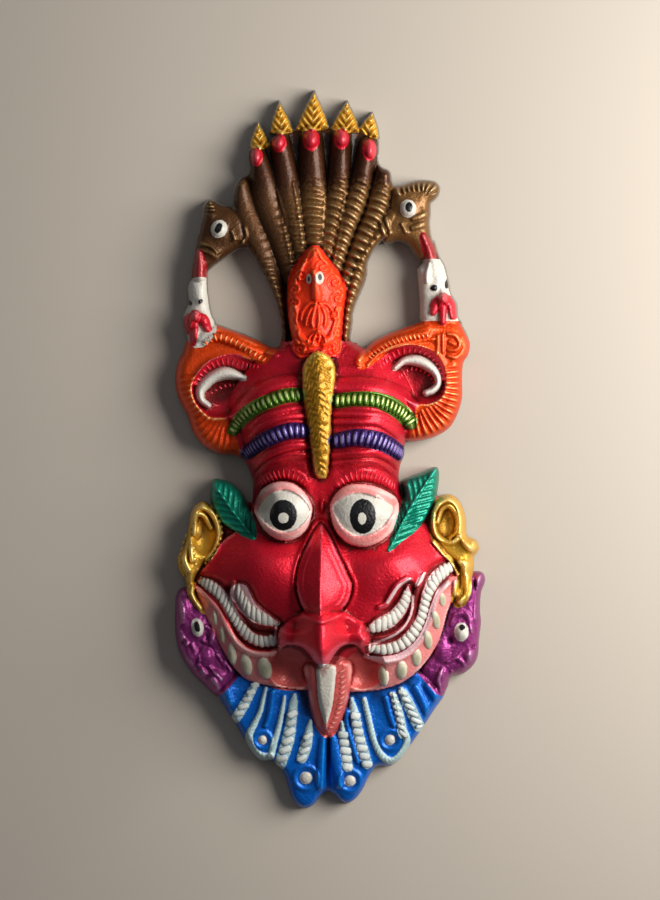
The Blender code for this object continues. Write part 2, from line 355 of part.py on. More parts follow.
class Board:
    """The grid that the relief is carved on, with the level of its surface."""

    def __init__(self, cell, outlines):
        points = np.vstack([smooth_line(outline, closed=True) for outline in outlines])
        self.cell = cell
        self.corner = points.min(axis=0) - BOARD_MARGIN * cell
        across, along = points.max(axis=0) - self.corner + BOARD_MARGIN * cell
        self.x, self.y = np.meshgrid(self.corner[0] + np.arange(0, across, cell),
                                     self.corner[1] + np.arange(0, along, cell))
        self.level = np.full(self.x.shape, EDGE_LEVEL)

    def window(self, curve, reach):
        """The rows and columns of the grid that lie within reach of the curve."""
        low = (curve[:, :2].min(axis=0) - reach - self.corner) / self.cell
        high = (curve[:, :2].max(axis=0) + reach - self.corner) / self.cell
        first = np.maximum(np.floor(low), 0).astype(int)
        last = np.maximum(np.ceil(high), 0).astype(int) + 1
        return slice(first[1], last[1]), slice(first[0], last[0])

    def inside(self, points, reach=REACH):
        """The distance in from a closed outline: positive inside it, negative outside."""
        curve = smooth_line(points, closed=True)
        field = np.full(self.x.shape, -reach)
        where = self.window(curve, reach)
        x = self.x[where]
        y = self.y[where]
        nearest = np.full(x.shape, 1e9)
        within = np.zeros(x.shape, bool)
        for (ax, ay), (bx, by) in zip(curve, np.roll(curve, -1, axis=0)):
            dx = bx - ax
            dy = by - ay
            t = np.clip(((x - ax) * dx + (y - ay) * dy) / (dx * dx + dy * dy + 1e-12), 0, 1)
            nearest = np.minimum(nearest, (x - ax - t * dx) ** 2 + (y - ay - t * dy) ** 2)
            if dy:
                within ^= ((ay > y) != (by > y)) & (x < ax + (y - ay) * dx / dy)
        field[where] = np.where(within, 1, -1) * np.sqrt(nearest)
        return np.maximum(field, -reach)

    def follow(self, points, reach=REACH):
        """How every place near an open line lies to it."""
        return Track(self, smooth_line(points), reach)

    def oval(self, x, y, across, along, turn=0.0):
        """The squared distance from an oval's middle: 1 on the oval."""
        c = math.cos(math.radians(turn))
        s = math.sin(math.radians(turn))
        dx = self.x - x
        dy = self.y - y
        return ((c * dx + s * dy) / across) ** 2 + ((c * dy - s * dx) / along) ** 2

    def lay(self, field, surface, drop, radius):
        """Lays a plate over what is there, with a rounded edge that falls by drop."""
        plate = surface - drop * (1 - round_over(field / radius))
        self.level = np.where(field > 0, np.maximum(self.level, plate), self.level)

    def mound(self, x, y, across, along, base, height, turn=0.0, power=0.5, blend=0.0):
        """A dome on an oval foot. A power of 0.5 is round, and a higher one is softer."""
        field = self.oval(x, y, across, along, turn)
        dome = np.where(field < 1, base + height * np.clip(1 - field, 0, 1) ** power, -1.0)
        self.level = soft_max(self.level, dome, blend) if blend else np.maximum(self.level, dome)

    def swell(self, x, y, across, along, height, turn=0.0, power=2.0):
        """A soft swelling, or with a negative height a hollow, added to what is there."""
        field = self.oval(x, y, across, along, turn)
        self.level = self.level + height * np.clip(1 - field, 0, 1) ** power


class Track:
    """Distance from a line, length along it, side of it and its half width, near the line."""

    def __init__(self, board, curve, reach):
        self.board = board
        self.where = board.window(curve, reach)
        x = board.x[self.where]
        y = board.y[self.where]
        self.gap = np.full(x.shape, 1e9)
        self.along = np.zeros(x.shape)
        self.side = np.zeros(x.shape)
        self.half = np.ones(x.shape)
        length = 0.0
        for a, b in zip(curve[:-1], curve[1:]):
            dx = b[0] - a[0]
            dy = b[1] - a[1]
            span = math.hypot(dx, dy)
            t = np.clip(((x - a[0]) * dx + (y - a[1]) * dy) / (span * span), 0, 1)
            gap = np.hypot(x - a[0] - t * dx, y - a[1] - t * dy)
            near = gap < self.gap
            turn = np.where((y - a[1]) * dx - (x - a[0]) * dy > 0, gap, -gap)
            self.gap = np.where(near, gap, self.gap)
            self.along = np.where(near, length + t * span, self.along)
            self.side = np.where(near, turn, self.side)
            if len(a) > 2:
                self.half = np.where(near, a[2] + t * (b[2] - a[2]), self.half)
            length += span
        self.length = length

    def cord(self, base, height, power=0.5):
        """A round cord laid over what is there."""
        crown = np.clip(1 - (self.gap / self.half) ** 2, 0, 1) ** power
        level = np.where(self.gap < self.half, base + height * crown, -1.0)
        self.board.level[self.where] = np.maximum(self.board.level[self.where], level)

    def bead(self, height, power=0.5):
        """A bead raised on what is there, or with a negative height a groove."""
        crown = np.clip(1 - (self.gap / self.half) ** 2, 0, 1) ** power
        self.board.level[self.where] += height * crown

    def ribs(self, count, height, sag=0.0, slant=0.0, start=-1.0):
        """Ribs across the line. They grow from nothing over the share of it that follows start."""
        across = self.side / self.half
        share = self.along / self.length
        turns = share * count + sag * across ** 2 + slant * across
        crown = np.clip(1 - (self.gap / self.half) ** 2, 0, 1) ** 0.5
        crown *= np.clip((share - start) / 0.25, 0, 1)
        self.board.level[self.where] += height * np.cos(2 * math.pi * turns) * crown


def carve_hood(board):
    """The hood of snakes, with its scales, red tips and crowns."""
    hood = board.inside(HOOD)
    board.lay(hood, 18, 5, 5)
    for line, (height, start) in zip(SNAKES, SNAKE_RIBS):
        track = board.follow(line, reach=20)
        track.cord(14, 17)
        track.ribs(track.length / 8.8, height, sag=-0.35, slant=-0.25, start=start)
    for line in SNAKE_EDGES:
        board.follow(line).bead(1.5, power=1.0)
    for x, y, across, along in SNAKE_TIPS:
        board.mound(x, y, across, along, 20, 16)
    for left, tip, right in CROWNS:
        carve_crown(board, left, tip, right)


def crown_outline(left, tip, right):
    """A flame: two hollow sides that meet at a round tip."""
    middle = ((left[0] + right[0]) / 2, (left[1] + right[1]) / 2 - 2)
    points = [middle, left]
    points += [(left[0] + (tip[0] - left[0]) * s + belly, left[1] + (tip[1] - left[1]) * s)
               for s, belly in ((0.16, -1.6), (0.38, -2.2), (0.62, -1.8), (0.85, -0.9), (1.03, 0))]
    points += [(right[0] + (tip[0] - right[0]) * s + belly, right[1] + (tip[1] - right[1]) * s)
               for s, belly in ((0.85, 1.2), (0.6, 2.0), (0.36, 2.2), (0.14, 1.4))]
    return points + [right]


def carve_crown(board, left, tip, right):
    """One crown: a flame-shaped plate with leaf strokes."""
    field = board.inside(crown_outline(left, tip, right))
    board.lay(field, 21, 8, 5)
    middle = 0.5 * (left[0] + right[0])
    lean = (tip[0] - middle) / (tip[1] - left[1])
    across = board.x - middle - lean * (board.y - left[1])
    strokes = np.cos((np.abs(across) * 1.25 - (board.y - left[1])) * 2 * math.pi / 8.5)
    board.level += np.where(field > 0, 2.4 * strokes * round_over(field / 3), 0)


def carve_bird_heads(board):
    """The two side heads with their crests, eyes and jaws, and the white heads under them."""
    for points, eye in ((LEFT_HEAD, (-111, 221, 9, 10)), (RIGHT_HEAD, (78, 241.5, 8.5, 9))):
        board.lay(board.inside(points), 31, 14, 13)
        board.swell(*eye[:2], eye[2] * 1.7, eye[3] * 1.7, 3)
        board.mound(*eye, 29, 9)
    for line in HEAD_LINES:
        board.follow(line).bead(2.6)
    crest = board.follow([(68, 260, 6), (80, 264, 6), (95, 265, 7), (104, 259, 7), (106, 251, 4)])
    crest.ribs(9, 2.2)
    board.follow([(-122, 247, 6), (-121, 236, 6)]).ribs(3, 1.5)
    for line in TONGUES:
        board.follow(line).cord(20, 13)
    for points in (LEFT_CREST, RIGHT_CREST):
        board.lay(board.inside(points), 30, 16, 13)
    for line in BEAKS:
        board.follow(line).bead(5)
    for x, y in ((-130, 148.5), (-141, 147), (104, 162), (117, 166)):
        board.swell(x, y, 5, 5, 2.5)
    board.follow([(99, 186, 2), (97, 176, 2.5), (97, 168, 2)]).bead(3)


def carve_ears(board):
    """The two big ears: a fanned plate, a beaded band, and a dish with its lashes and white tusk."""
    sides = ((LEFT_EAR, LEFT_HOLLOW, LEFT_LASHES, LEFT_TUSK, LEFT_BEADS, LEFT_FAN),
             (RIGHT_EAR, RIGHT_HOLLOW, RIGHT_LASHES, RIGHT_TUSK, RIGHT_BEADS, RIGHT_FAN))
    for (outline, hollow, lashes, tusk, beads, fan), ribs in zip(sides, (0.9, 1.9)):
        board.lay(board.inside(outline), 33, 18, 13)
        board.follow(fan, reach=20).ribs(15, ribs, slant=0.25)
        dish = board.inside(hollow)
        board.level += 2.5 * np.exp(-(dish / 4) ** 2)
        board.level -= np.where(dish > 0, 10 * round_over(dish / 12), 0)
        track = board.follow(lashes)
        track.bead(5)
        track.ribs(14, 2.4)
        board.follow(tusk).cord(22, 14)
        track = board.follow(beads)
        track.bead(2.5)
        track.ribs(12, 1.6)


def carve_ear_bands(board):
    """The raised bands along the ears' upper edges, with their drawn lines and curls."""
    for line in EAR_BANDS:
        board.follow(line).bead(3.0)
    for line in EAR_LINES:
        board.follow(line).bead(2.4)


def face_form(board):
    """The face's main form: a full body whose width and level follow the stations."""
    stations = np.array(FACE_STATIONS, float)
    flow = smooth_line(stations)
    middle, half, top = (np.interp(board.y, flow[:, 0], flow[:, k]) for k in (1, 2, 3))
    across = np.clip(np.abs(board.x - middle) / half, 0, 1) ** FACE_FULLNESS
    return EDGE_LEVEL + (top - EDGE_LEVEL) * (1 - across) ** 0.62


def carve_face(board):
    """The forehead, cheeks and mouth as one full form."""
    field = board.inside(FACE)
    form = face_form(board)
    board.level = np.where(field > 0, np.maximum(board.level, form), board.level)
    for x, y, across, along, height in (
            (-56, 26, 46, 80, 12), (42, 24, 42, 80, 12), (-11, 20, 16, 110, -9),
            (-64, -118, 52, 44, 13), (66, -120, 56, 44, 13), (-40, -150, 26, 40, 4),
            (38, -150, 26, 40, 4)):
        board.swell(x, y, across, along, height)
    for line in RED_ROLLS:
        board.follow(line).bead(0.6 * line[1][2])
    for line in GREEN_RINGS + VIOLET_RINGS:
        track = board.follow(line)
        track.bead(4.5)
        track.ribs(track.length / 6.5, 1.5)
    for line in BROWS:
        track = board.follow(line)
        track.bead(3)
        track.ribs(12, 1.4)


def carve_eyes(board):
    """The bulging eyes: a dome in thick lids, with a crease where the lids end."""
    for lid, white, (x, y, across, along) in zip(LIDS, WHITES, EYEBALLS):
        board.swell(x, y, 1.4 * across, 1.4 * along, -8, power=1.0)
        bulge = np.sqrt(np.clip(1 - board.oval(x, y, across, along), 0, 1))
        dome = soft_max(56 + 27 * bulge, face_form(board) + 6 + 15 * bulge, 8)
        board.lay(board.inside(lid), dome, 7, 6)
        opening = board.inside(white)
        board.level -= np.where(opening > 0, 2.6 * np.exp(-opening / 7), 0)


def carve_nose(board):
    """The upper lip with its beak, and the sharp nose on it with nested wings."""
    y = board.y
    ridge_x = np.interp(y, (-218, -200, -150, -75), (-7, -8.5, -10, -8.5))
    away = np.abs(board.x - ridge_x)
    beak = np.interp(y, (-217, -212, -200, -185, -165, -156), (99, 107, 110, 109, 105, 96))
    beak = np.maximum(beak - 1.15 * away ** 1.02, 84 - 0.1 * away)
    board.lay(board.inside(UPPER_LIP), beak, 10, 12)
    for x, across in ((16, 18), (-34, 18)):
        board.swell(x, -176, across, 10, -6)
    field = board.inside(NOSE)
    ridge = np.interp(y, (-170, -160, -130, -100, -74), (106, 105, 98, 86, 70))
    wing = np.interp(y, (-170, -150, -125, -95, -74), (84, 84, 80, 76, 66))
    half = np.interp(y, (-170, -155, -135, -116, -96, -74), (8, 24, 29, 24, 14, 1))
    fall = np.clip(away / half, 0, 1.2)
    board.lay(field, ridge - (ridge - wing) * fall ** 0.92, 3.5, 6)
    for depth in NOSE_GROOVES:
        board.level -= 1.2 * np.exp(-((field - depth) / 1.7) ** 2)
    board.level += np.where(field < 0, 2.2 * np.exp(-((field + 3.4) / 2.2) ** 2), 0)
    board.swell(-8, -56, 3.5, 10, 5)


def carve_mouth(board):
    """The grin: the rows of teeth, the valleys beside them, the lips and the oval teeth."""
    for lines, counts, drop in ((OUTER_TEETH, OUTER_TEETH_COUNTS, 0),
                                (INNER_TEETH, INNER_TEETH_COUNTS, -2)):
        for line, count in zip(lines, counts):
            valley = [(x, y + drop, half + 6) for x, y, half in line]
            board.follow(valley).bead(-7, power=1.0)
            track = board.follow(line)
            track.bead(8)
            track.ribs(count, 1.8)
    for line in LIP_LINES:
        board.follow(line).bead(5)
    for x, y, across, along, turn in OVAL_TEETH:
        field = board.oval(x, y, across, along, turn)
        board.level += 4 * np.clip(1 - field, 0, 1) ** 0.5
    for x in (-38, 32):
        board.swell(x, -218, 24, 22, -20, power=1.0)


def carve_tongue(board):
    """The tongue with its long tooth and its beaded side."""
    field = board.inside(TONGUE)
    droop = np.interp(board.y, (-290, -250, -215), (30, 46, 56))
    board.lay(field, droop, 14, 10)
    tooth = board.inside([(-12, -216), (-13, -232), (-11, -252), (-7, -268), (-4, -280), (0, -268),
                          (3, -252),
                          (5, -232), (5, -216)])
    board.level += np.where(tooth > 0, 5 * round_over(tooth / 5), 0)
    track = board.follow([(12, -221, 4.5), (12.5, -240, 4.6), (10, -256, 4.6), (5, -270, 4.2),
                          (-1.5, -281, 3.4)])
    track.ribs(12, 1.4)


def carve_gold_ears(board):
    """The small gold ears: a curled rim, a dished middle and a hanging lobe."""
    for points in (LEFT_GOLD, RIGHT_GOLD):
        board.lay(board.inside(points), 36, 16, 9)
    for x, y, across, along in ((-126, -82, 14, 24), (117, -73, 13, 20)):
        board.swell(x, y, across, along, -13, power=0.7)
    board.mound(-134, -81, 6, 9, 24, 9)
    for line in GOLD_LINES:
        board.follow(line).bead(6)


def carve_leaves(board):
    """The two veined leaves beside the eyes."""
    for points, rib in zip((LEFT_LEAF, RIGHT_LEAF), LEAF_RIBS):
        field = board.inside(points)
        track = board.follow([(x, y, 34) for x, y in rib], reach=36)
        level = np.full(board.level.shape, EDGE_LEVEL)
        level[track.where] = 31 + 23 * track.along / track.length - 0.25 * track.gap
        board.lay(field, level, 12, 4)
        veins = np.zeros(board.level.shape)
        veins[track.where] = np.cos((track.along + 1.1 * track.gap) * math.pi / 8.5) ** 6
        board.level += np.where(field > 0, 1.7 * veins * round_over(field / 4), 0)
        board.follow([(x, y, 1.6) for x, y in rib]).bead(2)


def carve_imps(board):
    """The two purple heads: a bulging eye under a brow, a lumpy snout and curls."""
    for points, eye in ((LEFT_IMP, (-132, -179, 6, 9.5)), (RIGHT_IMP, (132, -183, 7.5, 9))):
        board.lay(board.inside(points), 33, 18, 12)
        board.swell(*eye[:2], 1.9 * eye[2], 1.7 * eye[3], 4)
        board.mound(*eye, 31, 9)
    for x, y, across, along, height in IMP_LUMPS:
        board.swell(x, y, across, along, height, power=1.0)
    for line in IMP_LINES:
        board.follow(line).bead(2.4)


def carve_figure(board):
    """The seated figure on the forehead: its face, hair, beard, folded arms and knees."""
    field = board.inside(FIGURE)
    hump = 42 + 9 * np.exp(-((board.x + 14) / 22) ** 2) - 0.02 * (board.y - 120)
    board.lay(field, hump, 24, 12)
    board.swell(-15, 170, 16, 24, 4)
    board.swell(-13, 132, 18, 20, 3)
    for x, y, across, along in ((-21, 171, 3.4, 6), (-10.5, 172, 5, 7)):
        board.swell(x, y, across, along, 3, power=1.0)
    for line in FIGURE_STRANDS:
        board.follow(line).bead(3.0)
    for line in FIGURE_LIMBS:
        board.follow(line).bead(5)


def carve_club(board):
    """The gold feather that lies down the middle of the forehead."""
    field = board.inside(CLUB)
    ridge = np.interp(board.y, (-30, 98), (-9, -11.5))
    away = np.abs(board.x - ridge)
    crest = np.interp(board.y, (-30, 0, 60, 98), (66, 75, 80, 70)) - 0.5 * np.sqrt(away ** 2 + 8)
    crest = np.maximum(crest, board.level)
    drift = 3 * np.sin(0.19 * board.y + 0.45 * board.x)
    strokes = np.cos((board.y + 0.9 * away + drift) * 2 * math.pi / 7.5)
    strokes = strokes * np.cos((away + 0.6 * drift) * 2 * math.pi / 11)
    crest = crest + (4.5 + 0.9 * strokes) * round_over(field / 3.5)
    board.level = np.where(field > 0, crest, board.level)


def carve_beard(board):
    """The blue beard: a fanned plate with twisted ropes, loops, locks and buttons."""
    field = board.inside(BEARD)
    fall = np.interp(board.y, (-360, -320, -240), (21, 24, 31))
    board.lay(field, fall, 9, 8)
    for line, turns in zip(ROPES, ROPE_TURNS):
        track = board.follow(line)
        track.bead(3.5)
        track.ribs(turns, 1.2, slant=0.35)
    for line in LOOPS:
        track = board.follow(line)
        track.bead(2.6)
        track.ribs(track.length / 4.4, 0.45, slant=0.7)
    for line in LOCKS:
        board.follow(line).bead(3.5)
    for x, y, radius in BUTTONS:
        ring = np.sqrt(board.oval(x, y, 1, 1))
        board.level += 2.5 * np.clip(1 - (ring / radius) ** 2, 0, 1) ** 0.5
        board.level += 2.0 * np.clip(1 - ((ring - 2.1 * radius) / 3) ** 2, 0, 1)
    board.follow([(-2, -290, 3.5), (-3, -342, 5)]).bead(-5, power=1.0)


def carve(cell):
    """The whole relief, and the distance in from the mask's own outline."""
    outlines = [HOOD, LEFT_HEAD, RIGHT_HEAD, LEFT_CREST, RIGHT_CREST, FIGURE, CLUB, LEFT_EAR, RIGHT_EAR,
                FACE, LEFT_LEAF, RIGHT_LEAF, LEFT_GOLD, RIGHT_GOLD, LEFT_IMP, RIGHT_IMP, BEARD, TONGUE,
                BACKING]
    outlines += [crown_outline(*crown) for crown in CROWNS]
    board = Board(cell, outlines)
    board.lay(board.inside(BACKING), 27, 9, 8)
    carve_hood(board)
    carve_bird_heads(board)
    carve_ears(board)
    carve_beard(board)
    carve_imps(board)
    carve_face(board)
    carve_ear_bands(board)
    carve_leaves(board)
    carve_gold_ears(board)
    carve_eyes(board)
    carve_nose(board)
    carve_mouth(board)
    carve_tongue(board)
    carve_figure(board)
    carve_club(board)
    whole = np.max([board.inside(points) for points in outlines], axis=0)
    for gap in (LEFT_GAP, RIGHT_GAP):
        whole = np.minimum(whole, -board.inside(gap, reach=HEIGHT_PARTS))
    whole = np.where(np.abs(whole) < SNAP * cell, np.copysign(SNAP * cell, whole), whole)
    to_edge = np.sqrt(settle(np.where(whole > 0, FAR, 0.0), 1.0, cell, DEEPEST)) - cell
    whole = np.where(whole > 0, np.maximum(whole, to_edge), whole)
    steep = EDGE_LEVEL + EDGE_RISE * np.clip(whole, 0, None) ** EDGE_CURVE
    board.level = np.maximum(-soft_max(-board.level, -steep, EDGE_BLEND), EDGE_LEVEL)
    return board, whole


# The solid

def hollow(board, whole):
    """The level of the back: flat along the rim, and a wall's thickness under the relief inside it."""
    wall = SHELL_WALL / LEVEL
    rim = RIM_WIDTH / UNIT
    bend = 0.5 * UNIT / HOLLOW_BEND
    reach = 2 * HOLLOW_BEND / UNIT
    under = settle(np.where(whole > 0, board.level, 0.0), bend, board.cell, reach) - wall
    under = np.minimum(under, smear(under, board.cell, wall))
    return np.clip(np.minimum(under, RIM_SLOPE * (whole - rim)), 0, None)


def outline_cells(whole):
    """The faces between the grid's points and edge crossings inside the outline, and its rim edges."""
    rows, columns = whole.shape
    kept = whole > 0
    points = rows * columns
    number = np.arange(points).reshape(rows, columns)

    def part(grid, down, right):
        return grid[down:rows - 1 + down, right:columns - 1 + right].ravel()

    places = ((0, 0), (0, 1), (1, 1), (1, 0))
    corners = [part(number, *place) for place in places]
    level_edges = number + points
    upright_edges = number + 2 * points
    edges = [part(level_edges, 0, 0), part(upright_edges, 0, 1), part(level_edges, 1, 0),
             part(upright_edges, 0, 0)]
    case = sum(part(kept, *place).astype(int) << k for k, place in enumerate(places))
    faces = []
    rim = []
    for code in range(1, 16):
        chosen = case == code
        ring = []
        for k in range(4):
            here = code >> k & 1
            there = code >> (k + 1) % 4 & 1
            if here:
                ring.append((corners[k][chosen], False))
            if here != there:
                ring.append((edges[k][chosen], True))
        for (second, _), (third, _) in zip(ring[1:-1], ring[2:]):
            faces.append(np.stack([ring[0][0], second, third], axis=1))
        for (start, leaving), (end, entering) in zip(ring, ring[1:] + ring[:1]):
            if leaving and entering:
                rim.append(np.stack([start, end], axis=1))
    return np.concatenate(faces), np.concatenate(rim)


def crossing_points(board, whole):
    """The places of the grid's points, then of the crossings on its level and upright edges."""
    level_share = whole / (whole - np.roll(whole, -1, axis=1) + 1e-12)
    upright_share = whole / (whole - np.roll(whole, -1, axis=0) + 1e-12)
    x = [board.x, board.x + board.cell * np.clip(level_share, 0, 1), board.x]
    y = [board.y, board.y, board.y + board.cell * np.clip(upright_share, 0, 1)]
    return np.concatenate([v.ravel() for v in x]), np.concatenate([v.ravel() for v in y])


def cast(x, y, level):
    """Carving places as metres, with the casting's draft."""
    z = level * LEVEL
    draw = UNIT * (1 - CASTING_DRAFT * z)
    return np.stack([x * draw, y * draw, z], axis=1)


def casting_mesh(cell):
    """The casting as one closed mesh: its relief, the walls of its outline and gaps, and its back."""
    board, whole = carve(cell)
    faces, rim = outline_cells(whole)
    used, faces_at = np.unique(faces, return_inverse=True)
    faces = faces_at.reshape(-1, 3)
    rim = np.searchsorted(used, rim)
    x, y = (values[used] for values in crossing_points(board, whole))
    on_grid = used < whole.size
    at = np.where(on_grid, used, 0)
    front = np.where(on_grid, board.level.ravel()[at], EDGE_LEVEL)
    back = np.where(on_grid, hollow(board, whole).ravel()[at], 0.0)
    x = x - 0.5 * (x.min() + x.max())
    y = y - 0.5 * (y.min() + y.max())
    points = np.concatenate([cast(x, y, front), cast(x, y, back)])
    below = len(used)
    start, end = rim[:, 0], rim[:, 1]
    walls = [np.stack([end, start, start + below], axis=1), np.stack([end, start + below, end + below],
                                                                     axis=1)]
    triangles = np.concatenate([faces, faces[:, ::-1] + below] + walls)
    mesh = bpy.data.meshes.new("mask")
    mesh.vertices.add(len(points))
    mesh.vertices.foreach_set("co", points.astype(np.float32).ravel())
    mesh.loops.add(3 * len(triangles))
    mesh.loops.foreach_set("vertex_index", triangles.astype(np.int32).ravel())
    mesh.polygons.add(len(triangles))
    mesh.polygons.foreach_set("loop_start", np.arange(0, 3 * len(triangles), 3, dtype=np.int32))
    mesh.update(calc_edges=True)
    mesh.validate()
    mesh.shade_smooth()
    return mesh


def lacquer():
    """Deep red lacquer over metal."""
    material = bpy.data.materials.new("red lacquer")
    material.use_nodes = True
    shader = material.node_tree.nodes["Principled BSDF"]
    shader.inputs["Base Color"].default_value = (0.42, 0.02, 0.03, 1.0)
    shader.inputs["Metallic"].default_value = 0.35
    shader.inputs["Roughness"].default_value = 0.32
    return material


def clear_scene():
    for obj in list(bpy.data.objects):
        bpy.data.objects.remove(obj, do_unlink=True)


def main():
    clear_scene()
    mesh = casting_mesh(CARVING_CELL / UNIT)
    mesh.materials.append(lacquer())
    mask = bpy.data.objects.new("mask", mesh)
    bpy.context.scene.collection.objects.link(mask)
    thin = mask.modifiers.new("fewer faces", "DECIMATE")
    thin.decimate_type = "COLLAPSE"
    thin.ratio = TRIANGLE_BUDGET / len(mesh.polygons)
    thin.use_collapse_triangulate = True


main()
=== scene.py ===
"""Dresses the kirtimukha wall mask: a painted casting that lies on its back.

The relief is carved again on a finer board than the solid's and cast as one closed mesh.
Each place of it then knows how far inside every painted area it lies, and the paint goes
on in coats. Teeth, ribs, lashes and rope turns are pads laid along lines on the relief.
Carving sizes are in parts of the mask's height, with y towards the crowns.
"""

import collections
import functools
import math

import bpy
import mathutils
import numpy as np
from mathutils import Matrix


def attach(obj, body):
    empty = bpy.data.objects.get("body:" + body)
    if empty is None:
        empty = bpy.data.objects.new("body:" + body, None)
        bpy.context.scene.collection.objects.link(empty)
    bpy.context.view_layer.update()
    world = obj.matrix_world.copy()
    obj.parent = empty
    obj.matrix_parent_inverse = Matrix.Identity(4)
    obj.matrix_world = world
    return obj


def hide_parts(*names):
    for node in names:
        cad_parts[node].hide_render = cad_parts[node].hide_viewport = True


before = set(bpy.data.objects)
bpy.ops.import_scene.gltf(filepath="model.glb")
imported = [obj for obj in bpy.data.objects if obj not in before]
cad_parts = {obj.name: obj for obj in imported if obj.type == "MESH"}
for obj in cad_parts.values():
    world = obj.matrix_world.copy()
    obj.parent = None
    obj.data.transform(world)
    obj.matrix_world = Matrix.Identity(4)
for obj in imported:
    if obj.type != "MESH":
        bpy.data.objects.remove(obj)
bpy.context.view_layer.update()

bl_info = {
    "name": "Kirtimukha wall mask",
    "version": (1, 0, 0),
    "blender": (4, 5, 0),
    "location": "3D View > Sidebar > Mask",
    "description": "Carves, paints and lights a painted kirtimukha wall mask",
    "category": "Object",
}

# The casting, in metres.
MASK_HEIGHT = 0.457
RELIEF_DEPTH = 0.070
EDGE_THICKNESS = 0.0075
SHELL_WALL = 0.0045
RIM_WIDTH = 0.006
HOLLOW_BEND = 0.007

# How much each level of the casting is drawn in, for each metre above the back.
CASTING_DRAFT = 1.0

# The carving's own measure: parts of the height, with y up and x to the right, and levels above
# the back, of which the nose's tip has the most.
HEIGHT_PARTS = 716.0
NOSE_LEVEL = 110.0
UNIT = MASK_HEIGHT / HEIGHT_PARTS
LEVEL = RELIEF_DEPTH / NOSE_LEVEL
EDGE_LEVEL = EDGE_THICKNESS / LEVEL

# How the rim falls from the relief to the outline, and how the hollow starts from the flat rim.
EDGE_RISE = 10.5
EDGE_BLEND = 14.0
EDGE_CURVE = 0.62
RIM_SLOPE = 1.6

# The carving board: its free cells round the outline, how far from a line or an outline distances
# are told apart, how far in from the mask's own outline, and the steps of a curve between points.
BOARD_MARGIN = 3
REACH = 16.0
DEEPEST = 40.0
CURVE_STEPS = 6
# A grid point closer to the outline than this share of a cell is set that far from it.
SNAP = 0.12
# More than any distance, under every level, and less than any length.
FAR = 1e6
UNDER_ALL = -1.0
TINY = 1e-12

# How full and how round the face's section is, and how high its rolls rise for their half width.
FACE_FULLNESS = 2.4
FACE_CURVE = 0.62
ROLL_RISE = 0.85
# How far inside the nose's outline its grooves run, how far outside it the fold, and the beak's
# rounding.
NOSE_GROOVES = (3.5, 7.5)
NOSE_FOLD = 3.4
BEAK_ROUND = 5
# From rib to rib, stroke to stroke, vein to vein, and turn to turn of a curl or a fold.
SNAKE_RIB_STEP = 8.8
LOOP_RIB_STEP = 4.4
CROWN_STROKES = 8.5
CLUB_STROKES = (7.5, 11)
LEAF_VEIN_STEP = 8.5
CURL_STEP = 4.8
DRAPE_STEP = 4.4
# The share of a line over which its ribs grow from nothing.
RIB_GROWTH = 0.25
# How many ribs the side heads' crests have and how high they are, and how high the ears' are.
HEAD_CREST_RIBS = ((9, 2.2), (3, 1.5))
EAR_FAN_RISES = (0.9, 1.9)
# Where the seated figure's body is highest.
FIGURE_MIDDLE = (-14, 120)
# The sides of a crown: the share of the way from its foot to its tip, and the belly there.
CROWN_LEFT_SIDE = ((0.16, -1.6), (0.38, -2.2), (0.62, -1.8), (0.85, -0.9), (1.03, 0))
CROWN_RIGHT_SIDE = ((0.85, 1.2), (0.6, 2.0), (0.36, 2.2), (0.14, 1.4))

# How many parts of the mask's height the picture shows, and the floor's half width and its gap
# under the mask.
PHOTO_HEIGHT = 900
FLOOR_HALF = 4.0
FLOOR_DROP = 0.0003

# Outlines, in parts of the height. A curve runs smoothly through the points.
HOOD = [
    (-82, 300), (-81, 279), (-90, 272), (-96, 262), (-97, 244), (-92, 225), (-84, 204), (-62, 165),
    (-50, 130), (-48, 98), (22, 98), (23, 135), (36, 170), (42, 196), (56, 214), (68, 232), (66, 258),
    (62, 270), (60, 279), (49, 287), (48, 312), (30, 321), (14, 322), (-2, 322), (-18, 322), (-34, 321),
    (-52, 317), (-66, 304)
]
BIRD_HEADS = [
    [(-120, 251), (-126, 246), (-128, 234), (-131, 222), (-134, 210), (-137, 192), (-139, 170),
     (-123, 170), (-121, 179), (-108, 189), (-92, 200), (-80, 205), (-84, 232), (-97, 243), (-108, 246)],
    [(62, 262), (74, 266), (88, 270), (104, 269), (110, 263), (109, 255), (104, 249), (101, 246),
     (101, 236), (100, 226), (102, 212), (107, 196), (92, 188), (84, 195), (78, 204), (68, 208), (54, 206),
     (52, 222), (58, 240)]
]
WHITE_HEADS = [
    [(-139, 171), (-143, 160), (-142, 148), (-146, 138), (-148, 128), (-144, 114), (-137, 103),
     (-125, 104), (-114, 118), (-115, 130), (-119, 147), (-122, 171)],
    [(104, 210), (109, 195), (115, 184), (119, 168), (121, 157), (127, 146), (128, 134), (132, 125),
     (118, 118), (100, 120), (89, 130), (88, 150), (86, 168), (86, 181), (94, 190), (101, 196)]
]
GAPS = [
    [(-88, 200), (-105, 190), (-119, 178), (-122, 170), (-121, 153), (-115, 130), (-94, 120), (-74, 112),
     (-60, 104), (-51, 104), (-49, 118), (-53, 138), (-60, 160), (-70, 180), (-81, 198)],
    [(67, 208), (52, 202), (39, 190), (37, 172), (31, 156), (25, 139), (22, 121), (21, 109), (30, 108),
     (46, 114), (69, 122), (86, 130), (89, 138), (88, 160), (86, 180), (82, 197), (76, 205)]
]
FIGURE = [
    (-17, 205), (-10, 203), (-4, 195), (3, 186), (10, 177), (16, 165), (17, 157), (15, 144), (13, 128),
    (12, 110), (9, 97), (-4, 92), (-18, 93), (-29, 91), (-36, 101), (-40, 120), (-43, 142), (-43, 162),
    (-40, 177), (-32, 190), (-24, 200)
]
